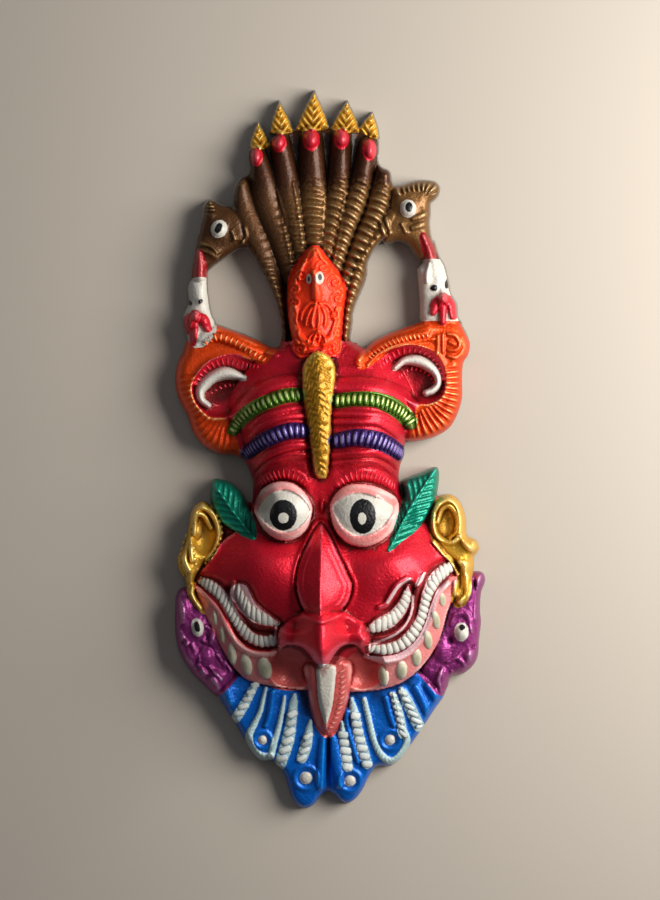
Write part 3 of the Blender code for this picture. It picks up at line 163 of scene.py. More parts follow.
CLUB = [
    (-12, 99), (-21, 94), (-27, 83), (-27.5, 66), (-26.5, 50), (-24, 34), (-21, 14), (-18, -4), (-16, -19),
    (-13, -27), (-7, -29), (-3, -26), (-1, -8), (0.5, 16), (1.5, 42), (4, 62), (5.5, 80), (0, 93)
]
EARS = [
    [(-118, 127), (-96, 120), (-78, 113), (-62, 104), (-48, 98), (-60, 70), (-80, 0), (-87, -8), (-97, -5),
     (-110, -4), (-123, 2), (-132, 10), (-138, 20), (-142, 33), (-148, 44), (-153, 56), (-155, 72),
     (-152, 88), (-147, 98), (-143, 110), (-132, 122)],
    [(100, 132), (84, 127), (62, 119), (46, 111), (34, 100), (26, 88), (40, 60), (70, 20), (77, 9),
     (92, 10), (106, 14), (119, 22), (127, 35), (132, 52), (132, 68), (133, 86), (138, 95), (140, 105),
     (137, 116), (130, 127), (118, 132)]
]
EAR_HOLLOWS = [
    [(-52, 84), (-62, 86), (-78, 90), (-99, 95), (-116, 91), (-126, 84), (-135, 73), (-138.5, 61),
     (-135, 48), (-126, 37), (-118, 32), (-102, 33), (-92, 40), (-80, 60)],
    [(28, 82), (48, 90), (60, 100), (77, 105), (90, 104), (104, 98), (113, 86), (116, 73), (115, 60),
     (110, 51), (99, 46), (90, 46), (78, 50), (60, 68)]
]
FACE = [
    (-12, 112), (22, 107), (40, 99), (62, 90), (80, 66), (86, 42), (81, 20), (75, 8), (74, -5), (70, -16),
    (69, -32), (76, -52), (100, -62), (110, -98), (124, -114), (130, -135), (118, -160), (109, -190),
    (94, -214), (76, -230), (56, -238), (20, -242), (-24, -240), (-58, -236), (-80, -231), (-94, -220),
    (-107, -200), (-119, -176), (-130, -152), (-134, -130), (-118, -108), (-106, -90), (-82, -70),
    (-77, -38), (-80, -22), (-88, -6), (-98, 14), (-103, 36), (-98, 58), (-82, 80), (-62, 100), (-45, 108)
]
LEAVES = [
    [(-117, -30), (-120, -48), (-116, -60), (-108, -73), (-93, -83), (-78, -90), (-73, -86), (-75, -72),
     (-81, -56), (-87, -44), (-97, -34), (-106, -30)],
    [(108, -18), (92, -22), (72, -31), (73, -46), (67, -68), (57, -102), (73, -91), (88, -79), (100, -62),
     (107, -44)]
]
GOLD_EARS = [
    [(-128, -51), (-138, -60), (-142, -78), (-146, -94), (-153, -108), (-151, -121), (-145, -130),
     (-142, -146), (-135, -157), (-124, -165), (-131, -150), (-135, -138), (-132, -126), (-126, -116),
     (-117, -108), (-110, -94), (-107, -81), (-110, -69), (-118, -57)],
    [(118, -44), (107, -48), (101, -60), (99, -76), (102, -91), (109, -102), (118, -110), (125, -120),
     (127, -130), (123, -141), (121, -150), (127, -158), (136, -154), (141, -142), (142, -128),
     (144, -116), (144, -107), (149, -99), (146, -90), (137, -85), (136, -70), (133, -58), (127, -48)]
]
IMPS = [
    [(-149, -138), (-154, -146), (-155, -162), (-155, -178), (-153, -194), (-148, -208), (-138, -223),
     (-126, -235), (-112, -246), (-97, -233), (-90, -218), (-102, -192), (-111, -172), (-116, -156),
     (-128, -146), (-140, -138)],
    [(146, -121), (153, -123), (155, -131), (151, -143), (150, -160), (151, -172), (149, -190),
     (148, -204), (144, -214), (134, -223), (121, -227), (117, -238), (110, -246), (95, -232), (87, -218),
     (97, -196), (107, -172), (112, -156), (122, -144), (133, -134), (140, -124)]
]
NOSE = [
    (-8.5, -74), (7, -102), (17.5, -125), (21.5, -134), (20, -146), (14, -157), (3, -165), (-9, -169),
    (-19, -166), (-26, -160), (-31, -148), (-33.5, -134), (-31, -116), (-23, -96)
]
UPPER_LIP = [
    (-24, -160), (-38, -168), (-50, -178), (-52, -188), (-50, -197.4), (-42, -195), (-30.6, -196.3),
    (-22.6, -202), (-15.7, -211), (-8.8, -217), (-2, -213.5), (3.8, -205.5), (10.7, -197.4), (19.9, -194),
    (28, -196.3), (33.7, -203), (39, -205), (41, -190), (37, -177), (24, -168), (10, -160), (-8, -156)
]
LIDS = [
    [(-76, -58), (-70, -42), (-60, -34), (-49, -31.5), (-36, -34), (-25, -43), (-18, -56), (-19, -68),
     (-24, -80), (-33, -88), (-43, -91), (-54, -89), (-65, -81), (-72, -70)],
    [(0, -56), (4, -46), (11, -38.5), (20, -34.5), (31, -34), (44, -36), (56, -41), (66, -47.5), (69, -57),
     (67, -71), (61, -83), (49, -92.5), (34, -97), (19, -94), (8, -84.5), (2, -72)]
]
WHITES = [
    [(-72, -62), (-66, -50), (-57, -42.5), (-47, -40), (-36, -42.5), (-26, -50), (-19.7, -61), (-25, -72),
     (-34, -80), (-46, -82.3), (-57, -79), (-67, -71)],
    [(3.3, -57), (10, -49.5), (18, -45), (28, -43), (40, -45), (52, -50), (63, -57), (60.5, -67),
     (53, -76.5), (42, -83.5), (29, -86), (17, -81), (8, -71)]
]
TONGUE = [
    (-25, -214), (-23, -236), (-20, -257), (-16.5, -271), (-11, -282), (-3, -288.5), (5, -284),
    (11.5, -273), (16, -258), (19.5, -243), (21, -212), (0, -206)
]
CARVED_TOOTH = [
    (-12, -216), (-13, -232), (-11, -252), (-7, -268), (-4, -280), (0, -268), (3, -252), (5, -232),
    (5, -216)
]
BEARD = [
    (-111, -240), (-110, -248), (-102, -262), (-92, -278), (-84, -292), (-77, -303), (-69, -310),
    (-58, -311), (-51, -316), (-45, -326), (-41, -339), (-36, -351), (-27, -358), (-17, -355), (-10, -346),
    (-3, -341), (4, -344), (10, -350), (17, -353), (25, -349), (32, -340), (37, -330), (42, -321),
    (48, -316), (59, -316), (69, -310), (79, -297), (93, -277), (104, -260), (114, -245), (112, -236),
    (80, -218), (0, -228), (-80, -220)
]
BACKING = [
    (-121, -56), (-128, -75), (-136, -110), (-140, -135), (-144, -152), (-140, -180), (-125, -215),
    (-104, -236), (-60, -245), (0, -250), (60, -245), (100, -236), (122, -212), (138, -180), (140, -152),
    (132, -130), (128, -112), (122, -75), (109, -47), (90, -45), (0, -60), (-100, -50)
]
# Lines: x, y and half width at each point. The leaves' ribs have no width.
SNAKES = [
    [(-90, 264, 10), (-86, 238, 15), (-70, 198, 16), (-56, 150, 12), (-49, 104, 8)],
    [(-73, 298, 9), (-67, 270, 14), (-63, 245, 17), (-50, 210, 15), (-34, 165, 12)],
    [(-50, 312, 10), (-45, 275, 14), (-40, 245, 16), (-33, 212, 12), (-24, 175, 10)],
    [(-19, 314, 12), (-18, 275, 15), (-17, 245, 17), (-15, 212, 14), (-14, 180, 10)],
    [(11, 314, 11), (9, 272, 12), (6, 245, 14), (1, 220, 11), (-5, 185, 9)],
    [(38, 304, 10), (31, 268, 12), (24, 245, 13), (15, 218, 11), (5, 180, 9)],
    [(55, 276, 11), (46, 236, 13), (31, 204, 12), (14, 165, 9)],
    [(63, 234, 10), (49, 214, 11), (31, 188, 10), (22.5, 158, 7.5), (17.5, 132, 6), (16, 106, 5)]
]
SNAKE_EDGES = [
    [(-54, 262, 1), (-47.5, 235, 3), (-38.5, 188, 2.4)], [(-37, 268, 1), (-32, 245, 3), (-27, 205, 2.4)],
    [(-5, 256, 1), (-5.5, 232, 3), (-7, 200, 2.4)], [(15, 254, 1), (10, 225, 3), (3, 188, 2.4)]
]
HEAD_LINES = [
    [(84, 231, 3), (92, 234, 3.5), (99, 236, 3)], [(83, 222, 3), (91, 225, 3.5), (99, 227, 3)],
    [(-128, 206, 2.5), (-120, 204, 2.5), (-113, 197, 2)],
    [(-128, 200, 2), (-120, 197, 2.5), (-112, 192, 2)], [(-98, 219, 2), (-95, 211, 2)],
    [(-85, 222, 2), (-84, 214, 2), (-87, 207, 2)], [(72, 226, 2), (76, 218, 2)],
    [(51, 227, 2), (55, 214, 2)], [(56, 232, 2), (60, 217, 2)]
]
HEAD_CRESTS = [
    [(68, 260, 6), (80, 264, 6), (95, 265, 7), (104, 259, 7), (106, 251, 4)],
    [(-122, 247, 6), (-121, 236, 6)]
]
TONGUES = [
    [(-131, 197, 4.5), (-130.5, 187, 7), (-130, 174, 7.5)], [(93, 214, 4), (97.5, 203, 6.5), (101, 192, 6)]
]
BEAKS = [
    [(-135, 134, 4.5), (-141.5, 130, 5.5), (-144, 119, 4)],
    [(-135, 136, 4.5), (-136, 122, 4.5), (-137, 107, 3.5)],
    [(-134, 134, 4.5), (-126.5, 130, 5.5), (-122, 121, 4)],
    [(113, 152, 4.5), (106.5, 147, 5.5), (103.5, 138, 3.8)],
    [(113.5, 153, 4.5), (113, 141, 4.2), (113, 127, 3)],
    [(114, 152, 4.5), (121, 147, 5.5), (123.5, 134, 4)]
]
WHITE_HEAD_CHEEK = [(99, 186, 2), (97, 176, 2.5), (97, 168, 2)]
EAR_BANDS = [
    [(29, 87, 4), (36, 97, 5), (49, 107, 6.5), (68, 115, 8), (94, 122, 8)],
    [(-54, 97, 4), (-70, 103, 6), (-90, 110, 8), (-112, 117, 9), (-130, 116, 8)]
]
EAR_LINES = [
    [(29, 90, 2), (46, 107, 2.5), (69, 118, 2.5), (94, 127, 2)],
    [(38, 85, 2), (50, 97, 2), (72, 106, 2), (104, 111, 2)], [(108, 114, 2), (108, 97, 2)],
    [(113, 115, 2), (113, 98, 2)],
    [(118, 116, 2), (126, 114, 2.5), (130, 106, 2.5), (126, 100, 2.5), (118, 100, 2)],
    [(120, 108, 2.5), (124, 106, 2.5)], [(132, 112, 2), (135, 102, 2.5), (128, 93, 2.5), (118, 94, 2)],
    [(-66, 104, 2), (-82, 110, 2), (-100, 118, 2), (-116, 122, 2)]
]
EAR_FANS = [
    [(-146, 76, 12), (-144, 56, 12), (-134, 34, 13), (-118, 15, 15), (-98, 8, 14)],
    [(126, 84, 10), (124, 60, 12), (114, 38, 14), (96, 26, 15), (82, 24, 14)]
]
TUSKS = [
    [(-85.5, 72, 3.2), (-103, 76.5, 6.5), (-116.5, 73, 6.2), (-127.5, 63.5, 6.2), (-130, 56, 4.8),
     (-128, 49.5, 4), (-121.5, 44.5, 3.2)],
    [(65, 82, 3), (74.5, 89, 4.2), (87.5, 89, 6), (99, 83.5, 5.5), (106.5, 75.5, 4.5), (108, 66.5, 3.8),
     (103, 60, 4), (96, 57, 3.5)]
]
EAR_LASHES = [
    [(-72, 83, 4), (-86, 84, 6), (-101, 89, 6), (-117, 85, 6), (-128, 76, 5), (-134, 66, 3)],
    [(50, 84, 4), (60, 92, 5), (72, 99, 6), (88, 100, 5), (101, 94, 5), (110, 83, 4), (113, 71, 3)]
]
EAR_BEADS = [
    [(-124, 107, 4), (-112, 113, 5), (-97, 108.5, 5), (-82, 100, 5), (-66, 90, 5)],
    [(40, 92, 5), (55, 104, 5), (72, 111, 5), (97, 115, 4)]
]
GREEN_RINGS = [
    [(-32, 55, 7.5), (-45, 54, 7.5), (-60, 49, 7.5), (-75, 42, 7.5), (-88, 32, 7.5), (-97, 20, 6)],
    [(7, 49, 7.5), (26, 51, 7.5), (46, 50, 8), (60, 45, 8.5), (72, 37, 8.5), (80, 28, 8)]
]
VIOLET_RINGS = [
    [(-28, 19, 8), (-40, 19, 8.5), (-56, 14, 8.5), (-70, 7, 8), (-83, -3, 7)],
    [(6, 9, 8), (25, 12, 9), (45, 10, 9.5), (58, 5, 9), (70, -3, 8)]
]
RED_ROLLS = [
    [(-26, 68, 7), (-45, 68, 7), (-66, 62, 7), (-84, 48, 7), (-95, 34, 6)],
    [(4, 64, 8), (30, 65, 8), (52, 62, 8), (70, 54, 8), (83, 42, 7)],
    [(-24, 42, 3.5), (-36, 42, 3.5), (-52, 38, 3.5), (-66, 33, 3.5), (-80, 23, 3)],
    [(-22, 34, 3.5), (-36, 34, 3.5), (-52, 31, 3.5), (-68, 24, 3.5), (-80, 14, 3)],
    [(4, 36, 3.5), (28, 36, 3.5), (50, 34, 4), (64, 27, 4), (74, 17, 3.5)],
    [(4, 28, 3.5), (28, 28, 3.5), (46, 28, 4), (62, 20, 4), (73, 10, 3.5)],
    [(-20, 4, 4), (-36, 4, 4), (-54, -1, 4), (-66, -8, 4), (-75, -18, 3)],
    [(-20, -5, 3), (-38, -5, 3), (-52, -9, 3), (-64, -16, 3), (-72, -26, 3)],
    [(3, -6, 4), (28, -4, 4), (46, -3, 4), (58, -8, 4), (67, -17, 3)],
    [(3, -14, 3), (26, -12, 3), (44, -12, 3), (58, -18, 3), (66, -26, 3)]
]
BROWS = [
    [(-72, -34, 5), (-60, -27, 6), (-46, -24, 6), (-32, -27, 6), (-24, -33, 5)],
    [(8, -34, 5), (20, -27, 6), (34, -25, 6), (50, -28, 6), (64, -36, 5)]
]
OUTER_TEETH = [
    [(-129.5, -130.5, 4), (-121.5, -135, 6.5), (-114, -140, 7.5), (-107, -147.5, 7.5), (-101, -157, 7.5),
     (-95, -168, 7), (-89, -177, 7), (-82.5, -184.5, 7.2), (-75, -189.5, 7), (-66, -191.5, 7),
     (-58, -190.5, 6.5)],
    [(42, -198.5, 6), (52, -199.5, 6.5), (62, -198, 7.5), (71, -194.5, 7.8), (79, -188, 8),
     (86, -178.5, 7.5), (91.5, -167, 6.5), (94.5, -155, 6.5), (98, -143, 7.5), (104, -131, 8.2),
     (111, -123, 8.2), (119.5, -117.5, 6)]
]
INNER_TEETH = [
    [(-90.5, -143, 11.5), (-86.5, -150, 10.8), (-82.5, -157, 10.3), (-78, -161.5, 10), (-73, -165.5, 9.5),
     (-67, -168.5, 8.4), (-61, -171, 7), (-54, -172.5, 4)],
    [(43, -178, 6.5), (48, -175.5, 8.5), (55, -173, 9.5), (61, -169.5, 9.3), (66.5, -164.5, 8.4),
     (71, -158.5, 8), (75, -151.5, 7.2), (77, -145, 6), (78, -138, 3.5)]
]
LIP_LINES = [
    [(-96, -132, 2), (-98, -146, 3), (-90, -164, 3.5), (-74, -176, 3.5), (-54, -179, 3)],
    [(43, -189, 3), (60, -185, 3.5), (76, -175, 3.5), (82.5, -160, 3.5), (86, -144, 3), (95, -124, 3)],
    [(50, -157, 3), (57.5, -153, 3.5), (66, -137, 3.5), (76, -129, 3), (82, -129, 2)],
    [(36, -206, 3), (54, -210, 4.5), (72, -206, 4.5), (88, -193, 4), (99, -172, 4), (106, -148, 4),
     (118, -133, 3)],
    [(-133, -138, 3), (-122, -146, 4), (-110, -160, 4), (-101, -178, 4), (-92, -194, 4), (-76, -203, 4),
     (-56, -203, 4)]
]
GOLD_LINES = [
    [(-141, -78, 3), (-136, -62, 3), (-128, -56, 3), (-118, -64, 3), (-110, -82, 3.5), (-114, -98, 3),
     (-122, -110, 3)],
    [(-136, -84, 2), (-134, -66, 2.5), (-126, -66, 2.5), (-119, -78, 2.5)],
    [(-144, -94, 2.5), (-146, -108, 3), (-141, -120, 3)], [(-139, -98, 2.5), (-138, -110, 2.5)],
    [(-135, -134, 2.5), (-138, -144, 3), (-130, -158, 2.5)],
    [(103, -62, 3), (110, -52, 3), (119, -49, 3), (128, -56, 3), (132, -72, 3), (130, -86, 3),
     (122, -92, 2.5), (114, -90, 2.5), (106, -84, 3), (103, -74, 3), (103, -62, 3)],
    [(108, -72, 2), (112, -60, 2.5), (120, -57, 2.5), (127, -68, 2.5), (126, -82, 2.5), (120, -88, 2)],
    [(104, -92, 2.5), (114, -104, 2.5), (122, -112, 2.5), (128, -124, 2)],
    [(132, -86, 3), (138, -96, 3.5), (144, -102, 3)], [(138, -86, 3), (146, -96, 3)],
    [(130, -112, 3), (136, -116, 5), (138, -128, 4), (138, -144, 4), (130, -153, 3)],
    [(126, -132, 3), (126, -144, 3.5)]
]
LEAF_RIBS = [[(-116, -34), (-98, -60), (-77, -87)], [(105, -20), (93, -38), (78, -62), (59, -100)]]
IMP_LINES = [
    [(-151, -148, 2), (-148, -160, 3), (-147, -172, 2.5)],
    [(-152, -178, 2), (-148, -187, 2.5), (-143, -194, 2)],
    [(-124, -176, 2), (-117, -183, 3), (-120, -193, 3), (-127, -191, 2)],
    [(-138, -194, 2), (-134, -203, 3), (-131, -211, 2)], [(-148, -198, 2), (-144, -209, 2.5)],
    [(-142, -210, 2), (-135, -218, 2.5)], [(-132, -214, 2), (-125, -224, 2.5)],
    [(-120, -217, 2), (-109, -229, 2.5)], [(-117, -229, 2.5), (-111, -238, 2.5)],
    [(-105, -211, 2), (-99, -221, 2)], [(-113, -204, 2), (-106, -215, 2)],
    [(152, -124, 2.5), (148, -138, 3), (147, -152, 3), (145, -168, 2.5)],
    [(121, -175, 2), (126, -165, 3), (134, -163, 3), (140, -170, 3), (142, -182, 2)],
    [(114, -163, 2), (110, -183, 2.5), (101, -198, 2)], [(117, -212, 2), (127, -208, 2.5), (136, -216, 2)],
    [(112, -219, 2), (108, -230, 2.5), (111, -240, 2)], [(122, -222, 2), (118, -232, 2.5)],
    [(148, -178, 2), (149, -190, 2.5), (147, -200, 2)]
]
FIGURE_STRANDS = [
    [(-14, 147, 1.6), (-21, 146, 2), (-27, 139, 1.6), (-29, 130, 1.2)],
    [(-14, 146, 1.5), (-19, 141, 1.8), (-23, 132, 1.5), (-24, 125, 1)],
    [(-14, 145, 1.5), (-16, 138, 1.8), (-18, 129, 1.5), (-17, 123, 1)],
    [(-12, 145, 1.5), (-11, 137, 1.8), (-11, 129, 1.5), (-12, 123, 1)],
    [(-10, 146, 1.5), (-6, 140, 1.8), (-4, 132, 1.5), (-5, 124, 1)],
    [(-10, 147, 1.6), (-3, 146, 2), (2, 140, 1.6), (4, 131, 1.2)],
    [(-12, 119, 1.4), (-18, 115, 1.6), (-22, 109, 1.2)],
    [(-12, 119, 1.4), (-15, 113, 1.6), (-17, 107, 1.2)],
    [(-11, 119, 1.4), (-11, 113, 1.6), (-11, 107, 1.2)], [(-10, 119, 1.4), (-6, 114, 1.6), (-4, 108, 1.2)],
    [(-27, 186, 1.4), (-33, 176, 1.6), (-35, 165, 1.4)],
    [(-24, 190, 1.4), (-29, 180, 1.6), (-31, 170, 1.4)], [(-13, 200, 1.4), (-9, 193, 1.6), (-4, 187, 1.4)]
]
FIGURE_LIMBS = [
    [(-16, 178, 3), (-14.5, 166, 3.5), (-13, 157, 5), (-13, 152, 4.5)],
    [(-36, 141, 5), (-37.5, 127, 5.5), (-33, 114, 5.5), (-24, 107, 5), (-16, 105, 4)],
    [(9, 140, 4.5), (8, 126, 5), (3, 113, 5), (-5, 107, 4.5)], [(-35, 106, 5), (-30, 98, 6), (-18, 97, 5)],
    [(9, 106, 5), (4, 98, 6), (-7, 97, 5)]
]
ROPES = [
    [(-75, -235, 4.8), (-81, -246, 5.6), (-87, -257, 6.2), (-94, -268, 6.2)],
    [(-37.5, -264, 6), (-40, -280, 7), (-43, -294, 7.4), (-50, -314, 7)],
    [(-22, -286, 6), (-24, -296, 7), (-28, -308, 6.5)],
    [(13, -285, 5.6), (15, -297, 6.4), (16, -306, 6.6), (17.5, -317, 6)],
    [(25.5, -266, 5.6), (28, -282, 6.4), (32, -298, 6.8), (37, -314, 6.4)],
    [(63, -245, 4.6), (66, -254, 5.4), (69, -264, 5.8), (73, -284, 6)],
    [(73, -243, 5.6), (77, -251, 6.6), (82, -262, 7), (89, -276, 7)]
]
LOOPS = [
    [(-64, -238, 1.6), (-67, -250, 2.2), (-70, -262, 2.6), (-76, -275, 3.2), (-80.5, -284, 3.6),
     (-80, -294, 3.8), (-75, -302, 3.8), (-67, -306.5, 3.8), (-59, -306, 3.6)],
    [(-45.5, -247, 1.8), (-48, -262, 2.4), (-51, -276, 2.8), (-55, -290, 3.2), (-59, -306, 3.6)],
    [(-35.5, -245, 2), (-36.5, -254, 4.2), (-38.5, -270, 4.6)],
    [(-19.5, -271, 1.8), (-21, -280, 3.8), (-22.5, -290, 4.2)],
    [(21.5, -249, 2), (23.5, -260, 4.2), (26, -272, 4.8)], [(12, -272, 1.6), (13, -284, 3.6)],
    [(34, -249, 2.4), (37, -262, 2.9), (40, -275, 3), (43, -288, 3), (48, -300, 3.3), (54, -308, 3.6),
     (61, -311, 3.7), (68, -308, 3.7), (74, -300, 3.7), (77, -291, 3.6), (75, -282, 3)],
    [(63, -244, 1.8), (66, -254, 2.2), (69, -264, 2.3), (72, -274, 2.3)],
    [(-74, -234, 2.6), (-81, -246, 3)], [(71, -239, 2.6), (76, -249, 3)]
]
LOCKS = [
    [(-104, -240, 5), (-100, -252, 4)], [(-57, -242, 3), (-60, -264, 3), (-64, -276, 2.5)],
    [(-6, -289, 4), (-8, -310, 5), (-9, -336, 5)], [(3, -288, 4), (6, -308, 5), (10, -334, 5)],
    [(56, -248, 3), (60, -264, 3), (64, -276, 2.5)], [(86, -238, 4), (92, -250, 4), (98, -264, 3.5)],
    [(98, -236, 4), (106, -248, 4)], [(17, -262, 3), (17, -274, 2.5), (24, -300, 2.5), (28, -312, 2)]
]
BEARD_PARTING = [(-2, -290, 3.5), (-3, -342, 5)]
# Ovals: x, y, half width and half length.
SNAKE_TIPS = [
    (-73.5, 293, 6.5, 9.5), (-51, 307, 7.5, 9.5), (-18.7, 310, 8.6, 11), (11.5, 311, 7.8, 10.5),
    (39.5, 300, 7.2, 11)
]
BIRD_EYES = [(-111, 221, 9, 10), (78, 241.5, 8.5, 9)]
EYEBALLS = [(-47, -62, 33, 33), (34, -65, 38, 35)]
IMP_EYES = [(-132, -179, 6, 9.5), (132, -183, 7.5, 9)]
GOLD_EAR_KNOB = (-134, -81, 6, 9)
# The lower teeth: x, y, half width, half length and turn in degrees.
OVAL_TEETH = [
    (-114.5, -168, 2.8, 8.5, 6), (-107, -185, 3.4, 10.5, 4), (-97.5, -204, 5, 13, 4),
    (-83.5, -214.5, 6, 13, 7), (-65, -218, 7, 14, 8), (53.5, -225.5, 6.2, 11.8, 2),
    (71.5, -220, 6, 11.8, 4), (86.5, -207.5, 6, 11.8, 8), (97.5, -190, 5.2, 12, 12),
    (105.5, -170, 5, 11.8, 14), (112, -149.5, 4.2, 8.8, 10)
]
# Swellings and dips: x, y, half width, half length and height.
FACE_SWELLS = [
    (-56, 26, 46, 80, 12), (42, 24, 42, 80, 12), (-11, 20, 16, 110, -9), (-64, -118, 52, 44, 13),
    (66, -120, 56, 44, 13), (-40, -150, 26, 40, 4), (38, -150, 26, 40, 4)
]
LIP_DIPS = [(16, -176, 18, 10, -6), (-34, -176, 18, 10, -6)]
CHIN_DIPS = [(-38, -218, 24, 22, -20), (32, -218, 24, 22, -20)]
NOSE_BRIDGE = (-8, -56, 3.5, 10, 5)
GOLD_EAR_DISHES = [(-126, -82, 14, 24, -13), (117, -73, 13, 20, -13)]
FIGURE_SWELLS = [(-15, 170, 16, 24, 4), (-13, 132, 18, 20, 3)]
FIGURE_EYES = [(-21, 171, 3.4, 6, 3), (-10.5, 172, 5, 7, 3)]
IMP_LUMPS = [
    (141, -207, 8, 9, 5), (113, -228, 7, 10, 4), (143, -197, 3, 3, -5), (121, -190, 4, 5, -4),
    (145, -134, 2, 8, -4), (112, -200, 9, 14, 4), (-141, -209, 8, 9, 4), (-113, -228, 9, 9, 4),
    (-146, -192, 3, 4, -4), (-146, -158, 8, 12, 4), (-124, -207, 9, 11, 5), (-116, -188, 7, 11, 4)
]
# Spots and circles: x, y and, apart from the white heads' eyes, a radius.
WHITE_HEAD_EYES = [(-130, 148.5), (-141, 147), (104, 162), (117, 166)]
FIGURE_CURLS = [
    (-7, 183, 11), (5, 168, 11), (8, 152, 10), (-36, 161, 10), (-29, 174, 8), (-36, 147, 8), (4, 135, 8),
    (8, 118, 8), (6, 101, 10), (-30, 101, 10), (-14, 112, 8)
]
BUTTONS = [(-67.5, -290, 4), (-24, -328, 5.5), (20, -331, 5), (60, -290, 4.6)]
# Each crown's left foot, tip and right foot.
CROWNS = [
    ((-80, 302), (-72, 328), (-60, 303)), ((-60, 316), (-51, 349), (-37, 319)),
    ((-34, 320), (-16, 359), (-1, 322)), ((1, 321), (17, 349), (30, 318)),
    ((29, 320), (42, 338), (49, 311))
]
# How high each snake's ribs rise, and the share of its length where they start.
SNAKE_RIBS = [
    (1.0, 0.3), (0.9, 0.4), (1.1, 0.35), (1.4, 0.25), (1.6, 0.2), (1.8, 0.15), (2.0, 0.0), (1.7, 0.0)
]
# What changes up the mask: y, then where a ridge runs, a level or a half width.
RIDGE_LINE = [(-218, -7), (-200, -8.5), (-150, -10), (-75, -8.5)]
CLUB_LINE = [(-30, -9), (98, -11.5)]
BEAK_LEVELS = [(-217, 99), (-212, 107), (-200, 110), (-185, 109), (-165, 105), (-156, 96)]
NOSE_RIDGE_LEVELS = [(-170, 106), (-160, 105), (-130, 98), (-100, 86), (-74, 70)]
NOSE_WING_LEVELS = [(-170, 84), (-150, 84), (-125, 80), (-95, 76), (-74, 66)]
NOSE_HALVES = [(-170, 8), (-155, 24), (-135, 29), (-116, 24), (-96, 14), (-74, 1)]
TONGUE_LEVELS = [(-290, 30), (-250, 46), (-215, 56)]
CLUB_LEVELS = [(-30, 66), (0, 75), (60, 80), (98, 70)]
BEARD_LEVELS = [(-360, 21), (-320, 24), (-240, 31)]
# The face's main form: station up the mask, its middle, half width and level.
FACE_STATIONS = [
    (-245, 0, 96, 34), (-225, 0, 112, 50), (-200, 0, 122, 63), (-170, 0, 134, 69), (-140, -1, 142, 70),
    (-110, -1, 138, 68), (-80, -3, 114, 64), (-55, -4, 92, 61), (-35, -5, 82, 62), (-10, -6, 80, 64),
    (20, -9, 90, 66), (50, -9, 97, 62), (80, -10, 86, 52), (112, -12, 60, 36)
]

# Outlines of the painted areas that differ from the carved ones, in parts of the height.
EAR_DISHES = [
    [(-50, 100), (-56, 96), (-61, 90), (-66, 86), (-78, 88.5), (-90, 95), (-99, 96.5), (-116, 92),
     (-127, 84), (-135, 73), (-138.5, 61), (-135, 48), (-127, 38), (-118, 33), (-106, 32), (-101, 30),
     (-98, 20), (-92, 8), (-87, -4), (-76, -14), (-30, 0), (-20, 60), (-30, 100)],
    [(27, 81), (34, 80.5), (48, 89), (60, 99.5), (77, 105), (90, 104), (104, 98), (113, 86), (116, 73),
     (115, 60), (110, 51), (99, 46), (90, 46), (86, 42), (84, 31), (80, 20), (75, 8), (72, -8), (20, 0),
     (0, 40), (5, 80)]
]
GUMS = [
    [(-131, -135), (-123, -145), (-111, -158), (-102, -175), (-91, -190), (-78, -200), (-58, -202),
     (-50, -203), (-40, -204), (-28, -209), (-24, -218), (-24, -240), (-58, -236), (-80, -231),
     (-94, -220), (-107, -200), (-119, -176), (-130, -152), (-134, -140)],
    [(38, -206), (54, -210), (72, -206), (87, -194), (98, -173), (104, -151), (112, -136), (121, -127),
     (127, -130), (118, -160), (109, -190), (94, -214), (76, -230), (56, -238), (44, -240), (43, -226),
     (40, -216)]
]
CHINS = [
    [(-60, -202), (-42, -198), (-28, -203), (-20, -214), (-20, -238), (-60, -236)],
    [(30, -203), (46, -209), (48, -238), (16, -240), (14, -222), (20, -206)]
]
# The mouth's dark insides, painted as shade.
MOUTH_SHADES = [
    [(-97, -133), (-93, -150), (-84, -163), (-70, -174), (-55, -178), (-53, -187), (-66, -184),
     (-80, -178), (-92, -164), (-100, -148)],
    [(41, -170), (58, -162), (67, -150), (72, -137), (80, -131), (90, -137), (91, -152), (88, -168),
     (76, -184), (58, -192), (41, -195)]
]
LONG_TOOTH = [
    (-12.5, -216), (-13, -232), (-11.5, -252), (-8, -266), (-4, -274), (-0.5, -266), (3, -252), (5, -232),
    (5, -216)
]
# The lips' pale pink rims, nearly all on the right-hand ridges that face the light: partly rim paint
# and partly painted highlight. x, y and half width.
LIP_RIM_HIGHLIGHTS = [
    [(34, -205, 1), (44, -208.5, 2.5), (56, -209.5, 3.2), (70, -206.5, 3.2), (82, -198.5, 3),
     (91, -187, 2.6), (98, -172, 2.2), (103, -156, 2), (109, -141, 1.8), (118, -131, 1.2)],
    [(40, -195, 1.2), (50, -191.5, 1.2), (66, -184, 1.2), (76, -174.5, 1.2), (82, -160, 1.2),
     (83, -146, 1.2)],
    [(57, -153.5, 1.6), (63, -144, 1.8), (69, -136, 1.6), (80, -129, 1)],
    [(86, -136, 1.2), (90, -130, 2.6), (95, -123, 1)],
    [(-53.5, -172, 1), (-54.5, -184, 1), (-54, -191, 1.2), (-50, -199, 0.8)]
]
